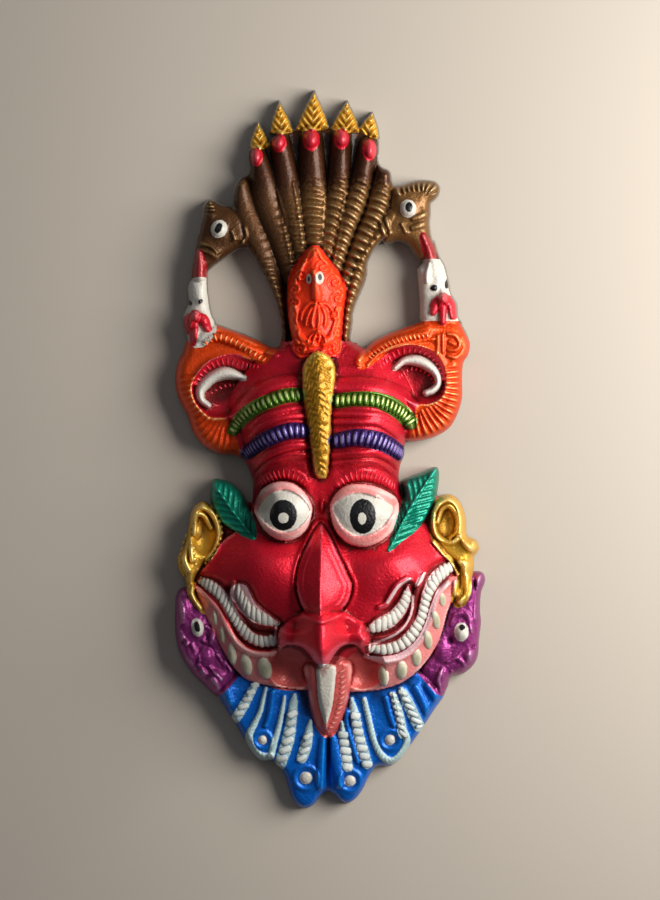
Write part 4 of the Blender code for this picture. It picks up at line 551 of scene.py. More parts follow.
# Painted ovals: x, y, half width, half length and, where it leans, its turn in degrees.
WHITE_SPOTS = [
    (-111, 221, 8.2, 9.2, -20), (78, 241.5, 8.2, 9), (-21, 171, 2.6, 5), (-10.5, 172, 4.5, 6.5),
    (-132.5, -177.5, 6.2, 9.5, 12), (131.5, -182, 7.2, 9.6)
]
BLACK_SPOTS = [
    (-46.6, -65.1, 13.8, 15.5), (32.8, -66.4, 13.2, 17.6), (-111.5, 222, 3.4, 5.8, -25),
    (79, 243, 3.8, 5.2), (-139.5, 147, 2.2, 2.6), (-129.5, 148.5, 2, 3, -40), (104, 162, 4, 3.2, 15),
    (117, 166, 2.2, 5.4, -8), (-21, 171, 1.3, 3.5), (-10, 173, 2, 3.2), (-133, -176.8, 3, 5.5, 12),
    (132, -177.5, 3.2, 3.2), (19.3, -51.8, 1.6, 1.6)
]
EYE_GLINTS = [(-46.6, -68, 5.4, 5.4), (32.2, -68.6, 4.4, 6)]
# Lines that only carry pads: x, y and half width.
GOLD_BEADS = [
    [(-143, -86, 2.6), (-147, -98, 3), (-149, -110, 3), (-147, -122, 3), (-141, -131, 2.6),
     (-139, -143, 2.4)],
    [(-137, -98, 2.6), (-136, -108, 3), (-133, -119, 2.6)],
    [(-113, -66, 2), (-108.5, -78, 2.6), (-111, -91, 2.6), (-116, -103, 2.4), (-124, -113, 2)]
]
TONGUE_BEADS = [(12, -221, 4.5), (12.5, -240, 4.6), (10, -256, 4.6), (5, -270, 4.2), (-1.5, -281, 3.4)]
EAR_FRINGES = [
    [(-118, 57, 2.6), (-110, 62, 3), (-102, 64.5, 3), (-94, 65, 2.6), (-88, 63, 2)],
    [(69, 73, 3.2), (77, 79, 3.4), (85, 81, 3.4), (93, 79, 3.4), (100, 74, 3), (104, 68, 2.4)]
]

# A paint's name, its colour, its colour in hollows, which is painted shade with a little grime, and its
# colour on crests, which is partly wear and partly painted highlight, then roughness and metallic.
Paint = collections.namedtuple("Paint", "label colour deep worn roughness metallic")
PAINTS = {
    "brown": Paint("Snakes and side heads", (0.085, 0.034, 0.010), (0.014, 0.006, 0.002),
                   (0.44, 0.29, 0.10), 0.44, 0.55),
    # Gilt on the right of the hood and the right side head: partly gilt paint, partly painted light.
    "sheen": Paint("Gilt sheen on the snakes", (0.21, 0.10, 0.030), (0.020, 0.009, 0.003),
                   (0.60, 0.46, 0.24), 0.40, 0.55),
    "umber": Paint("Snakes under the crowns", (0.052, 0.014, 0.003), (0.007, 0.003, 0.002),
                   (0.12, 0.050, 0.02), 0.42, 0.5),
    "blue": Paint("Beard", (0.0, 0.13, 0.60), (0.001, 0.014, 0.08), (0.01, 0.36, 0.95), 0.38, 0.35),
    "magenta": Paint("Small heads", (0.29, 0.034, 0.20), (0.016, 0.001, 0.018), (0.62, 0.32, 0.56),
                     0.40, 0.55),
    "crimson": Paint("Face", (0.66, 0.010, 0.030), (0.16, 0.002, 0.004), (0.80, 0.10, 0.15), 0.42, 0.55),
    # Partly painted shade: the forehead's darker red where it gets less light.
    "garnet": Paint("Forehead", (0.47, 0.007, 0.018), (0.10, 0.001, 0.003), (0.72, 0.09, 0.12), 0.42, 0.55),
    "orange": Paint("Ears", (0.76, 0.060, 0.002), (0.28, 0.008, 0.001), (1.0, 0.44, 0.17), 0.42, 0.5),
    "salmon": Paint("Lids, lips and tongue", (0.88, 0.29, 0.28), (0.38, 0.045, 0.050),
                    (0.95, 0.58, 0.56), 0.36, 0.2),
    "coral": Paint("Tongue and chin", (0.66, 0.12, 0.11), (0.30, 0.018, 0.022), (0.90, 0.40, 0.36),
                   0.34, 0.2),
    # Painted shade: the dark red inside the mouth and round the teeth.
    "wine": Paint("Inside of the mouth", (0.22, 0.006, 0.010), (0.10, 0.002, 0.003), (0.36, 0.03, 0.04),
                  0.42, 0.3),
    # On the lip ridges this pink is partly painted highlight.
    "rose": Paint("Lip rims", (0.74, 0.46, 0.50), (0.45, 0.16, 0.17), (0.85, 0.66, 0.66), 0.34, 0.1),
    "teal": Paint("Leaves", (0.002, 0.23, 0.15), (0.001, 0.028, 0.018), (0.03, 0.60, 0.46), 0.38, 0.55),
    "gold": Paint("Gold", (0.74, 0.42, 0.045), (0.24, 0.085, 0.004), (1.0, 0.78, 0.26), 0.42, 0.6),
    "old_gold": Paint("Club", (0.42, 0.20, 0.010), (0.15, 0.050, 0.003), (0.72, 0.48, 0.08), 0.44, 0.6),
    "vermilion": Paint("Seated figure", (1.0, 0.044, 0.004), (0.62, 0.010, 0.002), (1.0, 0.15, 0.045),
                       0.55, 0.1),
    "green": Paint("Green bands", (0.075, 0.18, 0.012), (0.010, 0.022, 0.002), (0.54, 0.64, 0.24),
                   0.36, 0.5),
    "violet": Paint("Violet bands", (0.040, 0.017, 0.13), (0.006, 0.003, 0.020), (0.30, 0.24, 0.50),
                    0.36, 0.5),
    "cherry": Paint("Snake tips and beaks", (0.56, 0.008, 0.024), (0.20, 0.002, 0.004),
                    (0.74, 0.08, 0.11), 0.30, 0.2),
    "blood": Paint("Tongues of the side heads", (0.30, 0.006, 0.012), (0.08, 0.002, 0.003),
                   (0.72, 0.16, 0.16), 0.30, 0.2),
    "white": Paint("White", (0.60, 0.58, 0.52), (0.36, 0.24, 0.21), (0.72, 0.71, 0.66), 0.40, 0.0),
    "foam": Paint("Beard's loops", (0.40, 0.56, 0.58), (0.04, 0.17, 0.36), (0.70, 0.78, 0.76), 0.42, 0.0),
    "froth": Paint("Beard's ropes", (0.60, 0.68, 0.67), (0.14, 0.27, 0.42), (0.74, 0.79, 0.76), 0.42, 0.0),
    # On the lower teeth the colour in hollows is the white rim round each foot and the colour on crests the
    # greenish middle, both their own paint.
    "cream": Paint("Lower teeth", (0.58, 0.56, 0.42), (0.74, 0.70, 0.62), (0.42, 0.42, 0.28), 0.36, 0.0),
    "black": Paint("Pupils", (0.004, 0.004, 0.005), (0.002, 0.002, 0.002), (0.008, 0.008, 0.010),
                   0.35, 0.0),
    "bare_metal": Paint("Bare casting", (0.34, 0.32, 0.30), (0.10, 0.09, 0.08), (0.55, 0.53, 0.50),
                        0.46, 0.8),
}

# The casting's coats, from the first. The ground paint covers all of it, and each of the others its
# painted area.
GROUND_PAINT = "brown"
COATS = [
    ("face", "crimson"), ("brow", "garnet"), ("beard", "blue"), ("imps", "magenta"), ("ears", "orange"),
    ("ear_dishes", "crimson"), ("sheen", "sheen"), ("hood_tops", "umber"), ("lips", "salmon"),
    ("tongue", "coral"), ("mouth", "wine"), ("teeth", "rose"), ("lip_rim", "rose"), ("leaves", "teal"),
    ("gold", "gold"), ("figure", "vermilion"), ("club", "old_gold"), ("green", "green"),
    ("violet", "violet"), ("tongues", "blood"), ("heads", "white"), ("cherry", "cherry"),
    ("loops", "foam"), ("white", "white"), ("black", "black"), ("glints", "white")
]

# How far a soft border between two paints runs.
SOFT_EDGE = 36.0
# Where the snakes give way to the face's paint, and where they darken under the crowns.
HOOD_FOOT = 109.0
HOOD_TOPS_FOOT = 262.0
# The gilt comes on from this line of the hood to the right: partly gilt paint and partly painted
# light, brightening the side that faces the light.
LIT_SHEEN_SIDE = -30.0
# From this height up the forehead's red is darker than the cheeks': partly its own darker red paint
# and partly painted shade where the forehead gets less light.
BROW_SHADE_FOOT = -22.0
# The top of the white heads' paint, and its foot on the right, where the ear's begins.
WHITE_HEAD_TOP = 191.0
RIGHT_WHITE_HEAD_FOOT = 129.0
# How much wider than their lines the mouth's painted shade round the teeth, the teeth and the ropes
# are painted, and how much larger than themselves the buttons.
MOUTH_SHADE_WIDER = 1.5
TEETH_WIDER = -2.2
ROPES_WIDER = -1.2
BUTTON_PAINT = 1.15
# Bare metal: how wide it is along the outline and from which height up, how many levels of a side
# are painted, and how far in from the outline every front face is.
EDGE_METAL = 1.3
BARE_EDGE_FOOT = 110.0
PAINT_FOOT = 6.0
RIM_BARE = 3.0
# What stands out: how wide the relief is smeared, and the share of its difference from that. It
# counts less near the outline. Painted shade goes where it sinks, painted highlight where it stands out.
RAISED_SHARES = ((3.0, 1.2), (9.0, 0.15))
RAISED_RIM = 9.0
RAISED_LEAST = 0.2
# How low and how high it stands where the colour in hollows, painted shade, and the colour on crests,
# partly wear and partly painted highlight, start and are full.
HOLLOW_RAMP = (0.3, 3.6)
CREST_RAMP = (0.9, 3.6)
# The same on a pad, from its foot at 0 to its top at 1.
PAD_HOLLOW_RAMP = (0.65, 0.1)
PAD_CREST_RAMP = (0.75, 1.0)
# How far a coat's edge wanders each way, and how softly it ends.
COAT_DRIFT = 0.8
COAT_EDGE = 0.35
# Noise scales: a coat's edge, the enamel's cloudy thickness, its brushing and its stipple.
WOBBLE_SCALE = 420.0
CLOUD_SCALE = 55.0
BRUSH_SCALE = 320.0
STIPPLE_SCALE = 620.0
BLACK = (0.0, 0.0, 0.0, 1.0)
# A dull brown for the hollows: partly dust, partly painted shade.
DUST_AND_SHADE_COLOUR = (0.16, 0.13, 0.10, 1.0)

# Pads: how wide the relief under them is smeared, their sides, and their rings' latitudes.
PAD_FOOTING = 4.0
PAD_SEGMENTS = 10
PAD_RINGS = (-35, 5, 38, 66)
OUTER_TEETH_COUNTS = (20, 22)
INNER_TEETH_COUNTS = (9, 11)
ROPE_TURNS = (6, 7, 4, 5, 7, 7, 6)

# Rows of pads: the piece, its lines, how many pads on each, how their slant runs along each in
# degrees, how far a pad fills its step, its rise as a share of its half length, its sink, its
# two ends and its paint.
Row = collections.namedtuple("Row", "piece lines counts slants fill rise sink ends paint")
ROWS = [
    Row("outer_teeth", OUTER_TEETH, OUTER_TEETH_COUNTS,
        ((14, 26, 42, 34, 18, 4), (14, 6, -12, -24, -14, -12)), 1.3, 0.38, 1.0, (0.8, 0.5), "white"),
    Row("inner_teeth_left", INNER_TEETH[:1], INNER_TEETH_COUNTS[:1], ((56, 46, 28, 14),), 1.4, 0.3, 0.6,
        (1.5, 0.6), "white"),
    Row("inner_teeth_right", INNER_TEETH[1:], INNER_TEETH_COUNTS[1:], ((-16, -20, -32, -46),), 1.6, 0.28,
        1.0, (0.45, 0.9), "white"),
    Row("green_bands", GREEN_RINGS, (16, 17), ((4,), (-8,)), 1.0, 0.42, 1.2, (0.6, 0.6), "green"),
    Row("violet_bands", VIOLET_RINGS, (15, 15), ((4,), (-8,)), 1.0, 0.36, 1.2, (0.6, 0.6), "violet"),
    Row("brow_lashes", BROWS, (14, 15), ((0,), (0,)), 0.66, 0.26, 0.8, (1.3, 1.3), "crimson"),
    Row("ear_lashes", EAR_LASHES, (16, 17), ((6,), (-6,)), 0.62, 0.34, 1.0, (1.4, 1.0), "crimson"),
    Row("ear_fringes", EAR_FRINGES, (9, 11), ((12,), (-12,)), 0.6, 0.36, 0.8, (1.2, 0.9), "crimson"),
    Row("ear_beads", EAR_BEADS, (13, 16), ((0,), (10,)), 0.62, 0.3, 0.6, (1.0, 1.0), "orange"),
    Row("beard_ropes", ROPES, ROPE_TURNS,
        ((44,), (40,), (46,), (-14, -18), (-20, -26), (-46,), (-52,)), 1.06, 0.30, 0.2, (0.28, 0.28),
        "froth"),
    Row("gold_beads", GOLD_BEADS, (10, 5, 10), ((0,), (0,), (0,)), 0.85, 0.6, 0.8, (1.0, 1.0), "gold"),
    Row("tongue_beads", (TONGUE_BEADS,), (13,), ((25,),), 0.7, 0.3, 0.8, (1.0, 1.0), "coral"),
]


def smooth_line(points, closed=False):
    """A curve through the points. A third number of a point is carried along as a width."""
    given = np.array(points, float)
    if closed:
        ring = np.vstack([given[-1:], given, given[:2]])
    else:
        ring = np.vstack([2 * given[0] - given[1], given, 2 * given[-1] - given[-2]])
    before, start, end, after = (ring[k:len(ring) - 3 + k][:, None] for k in range(4))
    t = np.linspace(0, 1, CURVE_STEPS, endpoint=False)[None, :, None]
    bend = (2 * before - 5 * start + 4 * end - after) * t ** 2
    twist = (3 * start - before - 3 * end + after) * t ** 3
    curve = (start + 0.5 * ((end - before) * t + bend + twist)).reshape(-1, given.shape[1])
    return curve if closed else np.vstack([curve, given[-1:]])


def up_mask(y, stations):
    """A value that changes up the mask, from stations that each give a height and the value there."""
    heights, values = zip(*stations)
    return np.interp(y, heights, values)


def round_over(t):
    """A quarter round: 0 at t = 0, 1 from t = 1."""
    return np.sqrt(1 - (1 - np.clip(t, 0, 1)) ** 2)


def bell(t, width):
    """A bell curve: 1 at t = 0, fading out past the width."""
    return np.exp(-(t / width) ** 2)


def wave(t, pitch):
    """A wave between -1 and 1."""
    return np.cos(t * 2 * math.pi / pitch)


def settle(field, bend, cell, reach):
    """The lowest that the field comes to near each place. A step away costs bend times its square."""
    for axis in (0, 1):
        lowest = field.copy()
        for step in range(1, int(reach / cell) + 1):
            cost = bend * (step * cell) ** 2
            ahead = np.roll(field, -step, axis)
            behind = np.roll(field, step, axis)
            lowest = np.minimum(lowest, np.minimum(ahead, behind) + cost)
        field = lowest
    return field


def smear(field, cell, width):
    """The field averaged over about the width, three times each way."""
    step = max(1, int(round(0.5 * width / cell)))
    for axis in (0, 1, 0, 1, 0, 1):
        field = sum(np.roll(field, k, axis) for k in range(-step, step + 1)) / (2 * step + 1)
    return field


def soft_max(a, b, blend):
    """The higher of two surfaces, with a fillet where they meet."""
    h = np.clip(0.5 + 0.5 * (a - b) / blend, 0, 1)
    return b + (a - b) * h + blend * h * (1 - h)


class Board:
    """The grid that the relief is carved on, with the level of its surface."""

    def __init__(self, cell, outlines):
        points = np.vstack([smooth_line(outline, closed=True) for outline in outlines])
        self.cell = cell
        self.corner = points.min(axis=0) - BOARD_MARGIN * cell
        across, along = points.max(axis=0) - self.corner + BOARD_MARGIN * cell
        self.x, self.y = np.meshgrid(self.corner[0] + np.arange(0, across, cell),
                                     self.corner[1] + np.arange(0, along, cell))
        self.level = np.full(self.x.shape, EDGE_LEVEL)

    def window(self, curve, reach):
        """The rows and columns of the grid that lie within reach of the curve."""
        low = (curve[:, :2].min(axis=0) - reach - self.corner) / self.cell
        high = (curve[:, :2].max(axis=0) + reach - self.corner) / self.cell
        first = np.maximum(np.floor(low), 0).astype(int)
        last = np.maximum(np.ceil(high), 0).astype(int) + 1
        return slice(first[1], last[1]), slice(first[0], last[0])

    def inside(self, points, reach=REACH):
        """The distance in from a closed outline: positive inside it, negative outside."""
        curve = smooth_line(points, closed=True)
        field = np.full(self.x.shape, -reach)
        where = self.window(curve, reach)
        x = self.x[where]
        y = self.y[where]
        nearest = np.full(x.shape, FAR)
        within = np.zeros(x.shape, bool)
        for (ax, ay), (bx, by) in zip(curve, np.roll(curve, -1, axis=0)):
            dx = bx - ax
            dy = by - ay
            t = np.clip(((x - ax) * dx + (y - ay) * dy) / (dx * dx + dy * dy + TINY), 0, 1)
            nearest = np.minimum(nearest, (x - ax - t * dx) ** 2 + (y - ay - t * dy) ** 2)
            if dy:
                within ^= ((ay > y) != (by > y)) & (x < ax + (y - ay) * dx / dy)
        field[where] = np.where(within, 1, -1) * np.sqrt(nearest)
        return np.maximum(field, -reach)

    def area(self, *outlines):
        """The distance in from the nearest edge of several closed outlines together."""
        return np.max([self.inside(points) for points in outlines], axis=0)

    def follow(self, points, reach=REACH):
        """How every place near an open line lies to it."""
        return Track(self, smooth_line(points), reach)

    def oval(self, x, y, across, along, turn=0.0):
        """The squared distance from an oval's middle: 1 on the oval."""
        c = math.cos(math.radians(turn))
        s = math.sin(math.radians(turn))
        dx = self.x - x
        dy = self.y - y
        return ((c * dx + s * dy) / across) ** 2 + ((c * dy - s * dx) / along) ** 2

    def away(self, x, y):
        """The distance from a point."""
        return np.sqrt(self.oval(x, y, 1, 1))

    def lay(self, field, surface, drop, radius):
        """Lays a plate over what is there, with a rounded edge that falls by drop."""
        plate = surface - drop * (1 - round_over(field / radius))
        self.level = np.where(field > 0, np.maximum(self.level, plate), self.level)

    def lift(self, field, height, radius):
        """Raises what lies inside an outline, from nothing at its edge to the height at the radius."""
        self.level += np.where(field > 0, height * round_over(field / radius), 0)

    def mound(self, x, y, across, along, base, height):
        """A round dome on an oval foot."""
        field = self.oval(x, y, across, along)
        dome = np.where(field < 1, base + height * np.clip(1 - field, 0, 1) ** 0.5, UNDER_ALL)
        self.level = np.maximum(self.level, dome)

    def swell(self, x, y, across, along, height, power=2.0):
        """A soft swelling, or with a negative height a hollow, added to what is there."""
        field = self.oval(x, y, across, along)
        self.level = self.level + height * np.clip(1 - field, 0, 1) ** power

    def swells(self, places, power=2.0):
        """A swelling at each of the places."""
        for place in places:
            self.swell(*place, power=power)

    def beads(self, lines, height, power=0.5):
        """A bead along each of the lines."""
        for line in lines:
            self.follow(line).bead(height, power)


class Track:
    """Distance from a line, length along it, side of it and its half width, near the line."""

    def __init__(self, board, curve, reach):
        self.board = board
        self.where = board.window(curve, reach)
        x = board.x[self.where]
        y = board.y[self.where]
        self.gap = np.full(x.shape, FAR)
        self.along = np.zeros(x.shape)
        self.side = np.zeros(x.shape)
        self.half = np.ones(x.shape)
        length = 0.0
        for a, b in zip(curve[:-1], curve[1:]):
            dx = b[0] - a[0]
            dy = b[1] - a[1]
            span = math.hypot(dx, dy)
            t = np.clip(((x - a[0]) * dx + (y - a[1]) * dy) / (span * span), 0, 1)
            gap = np.hypot(x - a[0] - t * dx, y - a[1] - t * dy)
            near = gap < self.gap
            turn = np.where((y - a[1]) * dx - (x - a[0]) * dy > 0, gap, -gap)
            self.gap = np.where(near, gap, self.gap)
            self.along = np.where(near, length + t * span, self.along)
            self.side = np.where(near, turn, self.side)
            if len(a) > 2:
                self.half = np.where(near, a[2] + t * (b[2] - a[2]), self.half)
            length += span
        self.length = length

    def crown(self, power=0.5):
        """A rounded section across the line: 1 on it, 0 at its half width."""
        return np.clip(1 - (self.gap / self.half) ** 2, 0, 1) ** power

    def cord(self, base, height):
        """A round cord laid over what is there."""
        level = np.where(self.gap < self.half, base + height * self.crown(), UNDER_ALL)
        self.board.level[self.where] = np.maximum(self.board.level[self.where], level)

    def bead(self, height, power=0.5):
        """A bead raised on what is there, or with a negative height a groove."""
        self.board.level[self.where] += height * self.crown(power)

    def ribs(self, count, height, sag=0.0, slant=0.0, start=-1.0):
        """Ribs across the line. They grow from nothing over the share of it that follows start."""
        across = self.side / self.half
        share = self.along / self.length
        turns = share * count + sag * across ** 2 + slant * across
        crown = self.crown() * np.clip((share - start) / RIB_GROWTH, 0, 1)
        self.board.level[self.where] += height * np.cos(2 * math.pi * turns) * crown


def crown_outline(left, tip, right):
    """A flame: two bellied sides that meet at a round tip."""
    middle = ((left[0] + right[0]) / 2, (left[1] + right[1]) / 2 - 2)
    sides = [(foot[0] + (tip[0] - foot[0]) * share + belly, foot[1] + (tip[1] - foot[1]) * share)
             for foot, side in ((left, CROWN_LEFT_SIDE), (right, CROWN_RIGHT_SIDE))
             for share, belly in side]
    return [middle, left] + sides + [right]


def carve_crown(board, left, tip, right):
    """One crown: a flame-shaped plate with leaf strokes."""
    field = board.inside(crown_outline(left, tip, right))
    board.lay(field, 21, drop=8, radius=5)
    middle = 0.5 * (left[0] + right[0])
    lean = (tip[0] - middle) / (tip[1] - left[1])
    across = board.x - middle - lean * (board.y - left[1])
    strokes = wave(np.abs(across) * 1.25 - (board.y - left[1]), CROWN_STROKES)
    board.lift(field, 2.4 * strokes, radius=3)


def carve_hood(board):
    """The hood of snakes, with its scales, red tips and crowns."""
    board.lay(board.inside(HOOD), 18, drop=5, radius=5)
    for line, (height, start) in zip(SNAKES, SNAKE_RIBS):
        track = board.follow(line, reach=20)
        track.cord(14, height=17)
        track.ribs(track.length / SNAKE_RIB_STEP, height, sag=-0.35, slant=-0.25, start=start)
    board.beads(SNAKE_EDGES, 1.5, power=1.0)
    for tip in SNAKE_TIPS:
        board.mound(*tip, base=20, height=16)
    for crown in CROWNS:
        carve_crown(board, *crown)


def carve_bird_heads(board):
    """The two side heads with their crests, eyes and jaws, and the white heads under them."""
    for outline, (x, y, across, along) in zip(BIRD_HEADS, BIRD_EYES):
        board.lay(board.inside(outline), 31, drop=14, radius=13)
        board.swell(x, y, 1.7 * across, 1.7 * along, height=3)
        board.mound(x, y, across, along, base=29, height=9)
    board.beads(HEAD_LINES, 2.6)
    for line, (count, height) in zip(HEAD_CRESTS, HEAD_CREST_RIBS):
        board.follow(line).ribs(count, height)
    for line in TONGUES:
        board.follow(line).cord(20, height=13)
    for outline in WHITE_HEADS:
        board.lay(board.inside(outline), 30, drop=16, radius=13)
    board.beads(BEAKS, 5)
    for x, y in WHITE_HEAD_EYES:
        board.swell(x, y, across=5, along=5, height=2.5)
    board.follow(WHITE_HEAD_CHEEK).bead(3)


def carve_ears(board):
    """The two big ears: a fanned plate, a beaded band, and a dish with its lashes and white tusk."""
    sides = zip(EARS, EAR_FANS, EAR_FAN_RISES, EAR_HOLLOWS, EAR_LASHES, TUSKS, EAR_BEADS)
    for outline, fan, fan_rise, dish_outline, lashes, tusk, beads in sides:
        board.lay(board.inside(outline), 33, drop=18, radius=13)
        board.follow(fan, reach=20).ribs(15, fan_rise, slant=0.25)
        dish = board.inside(dish_outline)
        board.level += 2.5 * bell(dish, 4)
        board.lift(dish, -10, radius=12)
        board.follow(lashes).bead(4)
        board.follow(tusk).cord(22, height=14)
        board.follow(beads).bead(2)


def carve_beard(board):
    """The blue beard: a fanned plate with twisted ropes, loops, locks and buttons."""
    board.lay(board.inside(BEARD), up_mask(board.y, BEARD_LEVELS), drop=9, radius=8)
    board.beads(ROPES, 1.5)
    for line in LOOPS:
        track = board.follow(line)
        track.bead(2.6)
        track.ribs(track.length / LOOP_RIB_STEP, 0.45, slant=0.7)
    board.beads(LOCKS, 3.5)
    for x, y, radius in BUTTONS:
        ring = board.away(x, y)
        board.level += 2.5 * np.clip(1 - (ring / radius) ** 2, 0, 1) ** 0.5
        board.level += 2.0 * np.clip(1 - ((ring - 2.1 * radius) / 3) ** 2, 0, 1)
    board.follow(BEARD_PARTING).bead(-5, power=1.0)


def carve_imps(board):
    """The two purple heads: a bulging eye under a brow, a lumpy snout and curls."""
    for outline, (x, y, across, along) in zip(IMPS, IMP_EYES):
        board.lay(board.inside(outline), 33, drop=18, radius=12)
        board.swell(x, y, 1.9 * across, 1.7 * along, height=4)
        board.mound(x, y, across, along, base=31, height=9)
    board.swells(IMP_LUMPS, power=1.0)
    board.beads(IMP_LINES, 2.4)
    wrinkles = np.sin(0.62 * board.x + 2.2 * np.sin(0.23 * board.y))
    wrinkles = wrinkles * np.sin(0.5 * board.y + 2.2 * np.sin(0.27 * board.x))
    board.lift(board.area(*IMPS), 0.45 * wrinkles, radius=5)


def face_form(board):
    """The face's main form: a full body whose width and level follow the stations."""
    flow = smooth_line(FACE_STATIONS)
    middle, half, top = (np.interp(board.y, flow[:, 0], flow[:, k]) for k in (1, 2, 3))
    across = np.clip(np.abs(board.x - middle) / half, 0, 1) ** FACE_FULLNESS
    return EDGE_LEVEL + (top - EDGE_LEVEL) * (1 - across) ** FACE_CURVE


def carve_face(board):
    """The forehead, cheeks and mouth as one full form, with the forehead's rolls and bands."""
    full = np.maximum(board.level, face_form(board))
    board.level = np.where(board.inside(FACE) > 0, full, board.level)
    board.swells(FACE_SWELLS)
    for line in RED_ROLLS:
        board.follow(line).bead(ROLL_RISE * line[1][2])
    board.beads(GREEN_RINGS + VIOLET_RINGS, 4)
    board.beads(BROWS, 2.5)


def carve_ear_bands(board):
    """The raised bands along the ears' upper edges, with their drawn lines and curls."""
    board.beads(EAR_BANDS, 3)
    board.beads(EAR_LINES, 2.4)


def carve_leaves(board):
    """The two veined leaves beside the eyes."""
    for outline, rib in zip(LEAVES, LEAF_RIBS):
        field = board.inside(outline)
        track = board.follow(rib, reach=36)
        blade = np.full(board.level.shape, EDGE_LEVEL)
        blade[track.where] = 31 + 23 * track.along / track.length - 0.25 * track.gap
        board.lay(field, blade, drop=12, radius=4)
        veins = np.zeros(board.level.shape)
        veins[track.where] = wave(track.along + 1.1 * track.gap, 2 * LEAF_VEIN_STEP) ** 6
        board.lift(field, 1.7 * veins, radius=4)
        board.follow([(x, y, 1.6) for x, y in rib]).bead(2)


def carve_gold_ears(board):
    """The small gold ears: a curled rim, a dished middle and a hanging lobe."""
    for outline in GOLD_EARS:
        board.lay(board.inside(outline), 36, drop=16, radius=9)
    board.swells(GOLD_EAR_DISHES, power=0.7)
    board.mound(*GOLD_EAR_KNOB, base=24, height=9)
    board.beads(GOLD_LINES, 6)


def carve_eyes(board):
    """The bulging eyes: a dome in thick lids, with a crease where the lids end."""
    for lid, white, (x, y, across, along) in zip(LIDS, WHITES, EYEBALLS):
        board.swell(x, y, 1.4 * across, 1.4 * along, height=-8, power=1.0)
        bulge = np.sqrt(np.clip(1 - board.oval(x, y, across, along), 0, 1))
        dome = soft_max(56 + 27 * bulge, face_form(board) + 6 + 15 * bulge, blend=8)
        board.lay(board.inside(lid), dome, drop=7, radius=6)
        opening = board.inside(white)
        board.level -= np.where(opening > 0, 2.6 * np.exp(-opening / 7), 0)


def carve_nose(board):
    """The upper lip with its beak, and the sharp nose on it with nested wings."""
    away = np.abs(board.x - up_mask(board.y, RIDGE_LINE))
    rounded = np.sqrt(away ** 2 + BEAK_ROUND ** 2) - BEAK_ROUND
    beak = np.maximum(up_mask(board.y, BEAK_LEVELS) - 1.2 * rounded, 84 - 0.1 * away)
    board.lay(board.inside(UPPER_LIP), beak, drop=10, radius=12)
    board.swells(LIP_DIPS)
    field = board.inside(NOSE)
    ridge = up_mask(board.y, NOSE_RIDGE_LEVELS)
    wing = up_mask(board.y, NOSE_WING_LEVELS)
    fall = np.clip(away / up_mask(board.y, NOSE_HALVES), 0, 1.2)
    board.lay(field, ridge - (ridge - wing) * fall ** 0.92, drop=3.5, radius=6)
    for depth in NOSE_GROOVES:
        board.level -= 1.2 * bell(field - depth, 1.7)
    board.level += np.where(field < 0, 2.2 * bell(field + NOSE_FOLD, 2.2), 0)
    board.swell(*NOSE_BRIDGE)


def carve_mouth(board):
    """The grin: the rows of teeth, the valleys beside them, the lips and the dips in the chin."""
    for lines, drop in ((OUTER_TEETH, 0), (INNER_TEETH, -2)):
        for line in lines:
            valley = [(x, y + drop, half + 6) for x, y, half in line]
            board.follow(valley).bead(-7, power=1.0)
            board.follow(line).bead(6)
    board.beads(LIP_LINES, 5)
    board.swells(CHIN_DIPS, power=1.0)


def carve_tongue(board):
    """The hanging tongue with its long tooth."""
    board.lay(board.inside(TONGUE), up_mask(board.y, TONGUE_LEVELS), drop=14, radius=10)
    board.lift(board.inside(CARVED_TOOTH), 5, radius=5)


def carve_figure(board):
    """The seated figure on the forehead: its face, hair, beard, folded arms and knees."""
    field = board.inside(FIGURE)
    middle_x, middle_y = FIGURE_MIDDLE
    hump = 42 + 9 * bell(board.x - middle_x, 22) - 0.02 * (board.y - middle_y)
    board.lay(field, hump, drop=24, radius=12)
    board.swells(FIGURE_SWELLS)
    board.swells(FIGURE_EYES, power=1.0)
    for x, y, radius in FIGURE_CURLS:
        ring = board.away(x, y)
        coil = np.cos(ring * 2 * math.pi / CURL_STEP - np.arctan2(board.y - y, board.x - x))
        board.level += 1.3 * coil * np.clip(1.8 - 1.8 * ring / radius, 0, 1)
    drape = np.cos(field * 2 * math.pi / DRAPE_STEP + 1.6 * np.sin(0.45 * board.y))
    board.level += 0.8 * drape * round_over(field / 3) * np.clip((12 - field) / 4, 0, 1)
    board.beads(FIGURE_STRANDS, 3)
    board.beads(FIGURE_LIMBS, 5)


def carve_club(board):
    """The gold feather that lies down the middle of the forehead."""
    field = board.inside(CLUB)
    away = np.abs(board.x - up_mask(board.y, CLUB_LINE))
    crest = up_mask(board.y, CLUB_LEVELS) - 0.5 * np.sqrt(away ** 2 + 8)
    crest = np.maximum(crest, board.level)
    drift = 3 * np.sin(0.19 * board.y + 0.45 * board.x)
    strokes = wave(board.y + 0.9 * away + drift, CLUB_STROKES[0])
    strokes = strokes * wave(away + 0.6 * drift, CLUB_STROKES[1])
    crest = crest + (4.5 + 0.9 * strokes) * round_over(field / 3.5)
    board.level = np.where(field > 0, crest, board.level)


CARVING_STEPS = (carve_hood, carve_bird_heads, carve_ears, carve_beard, carve_imps, carve_face,
                 carve_ear_bands, carve_leaves, carve_gold_ears, carve_eyes, carve_nose, carve_mouth,
                 carve_tongue, carve_figure, carve_club)


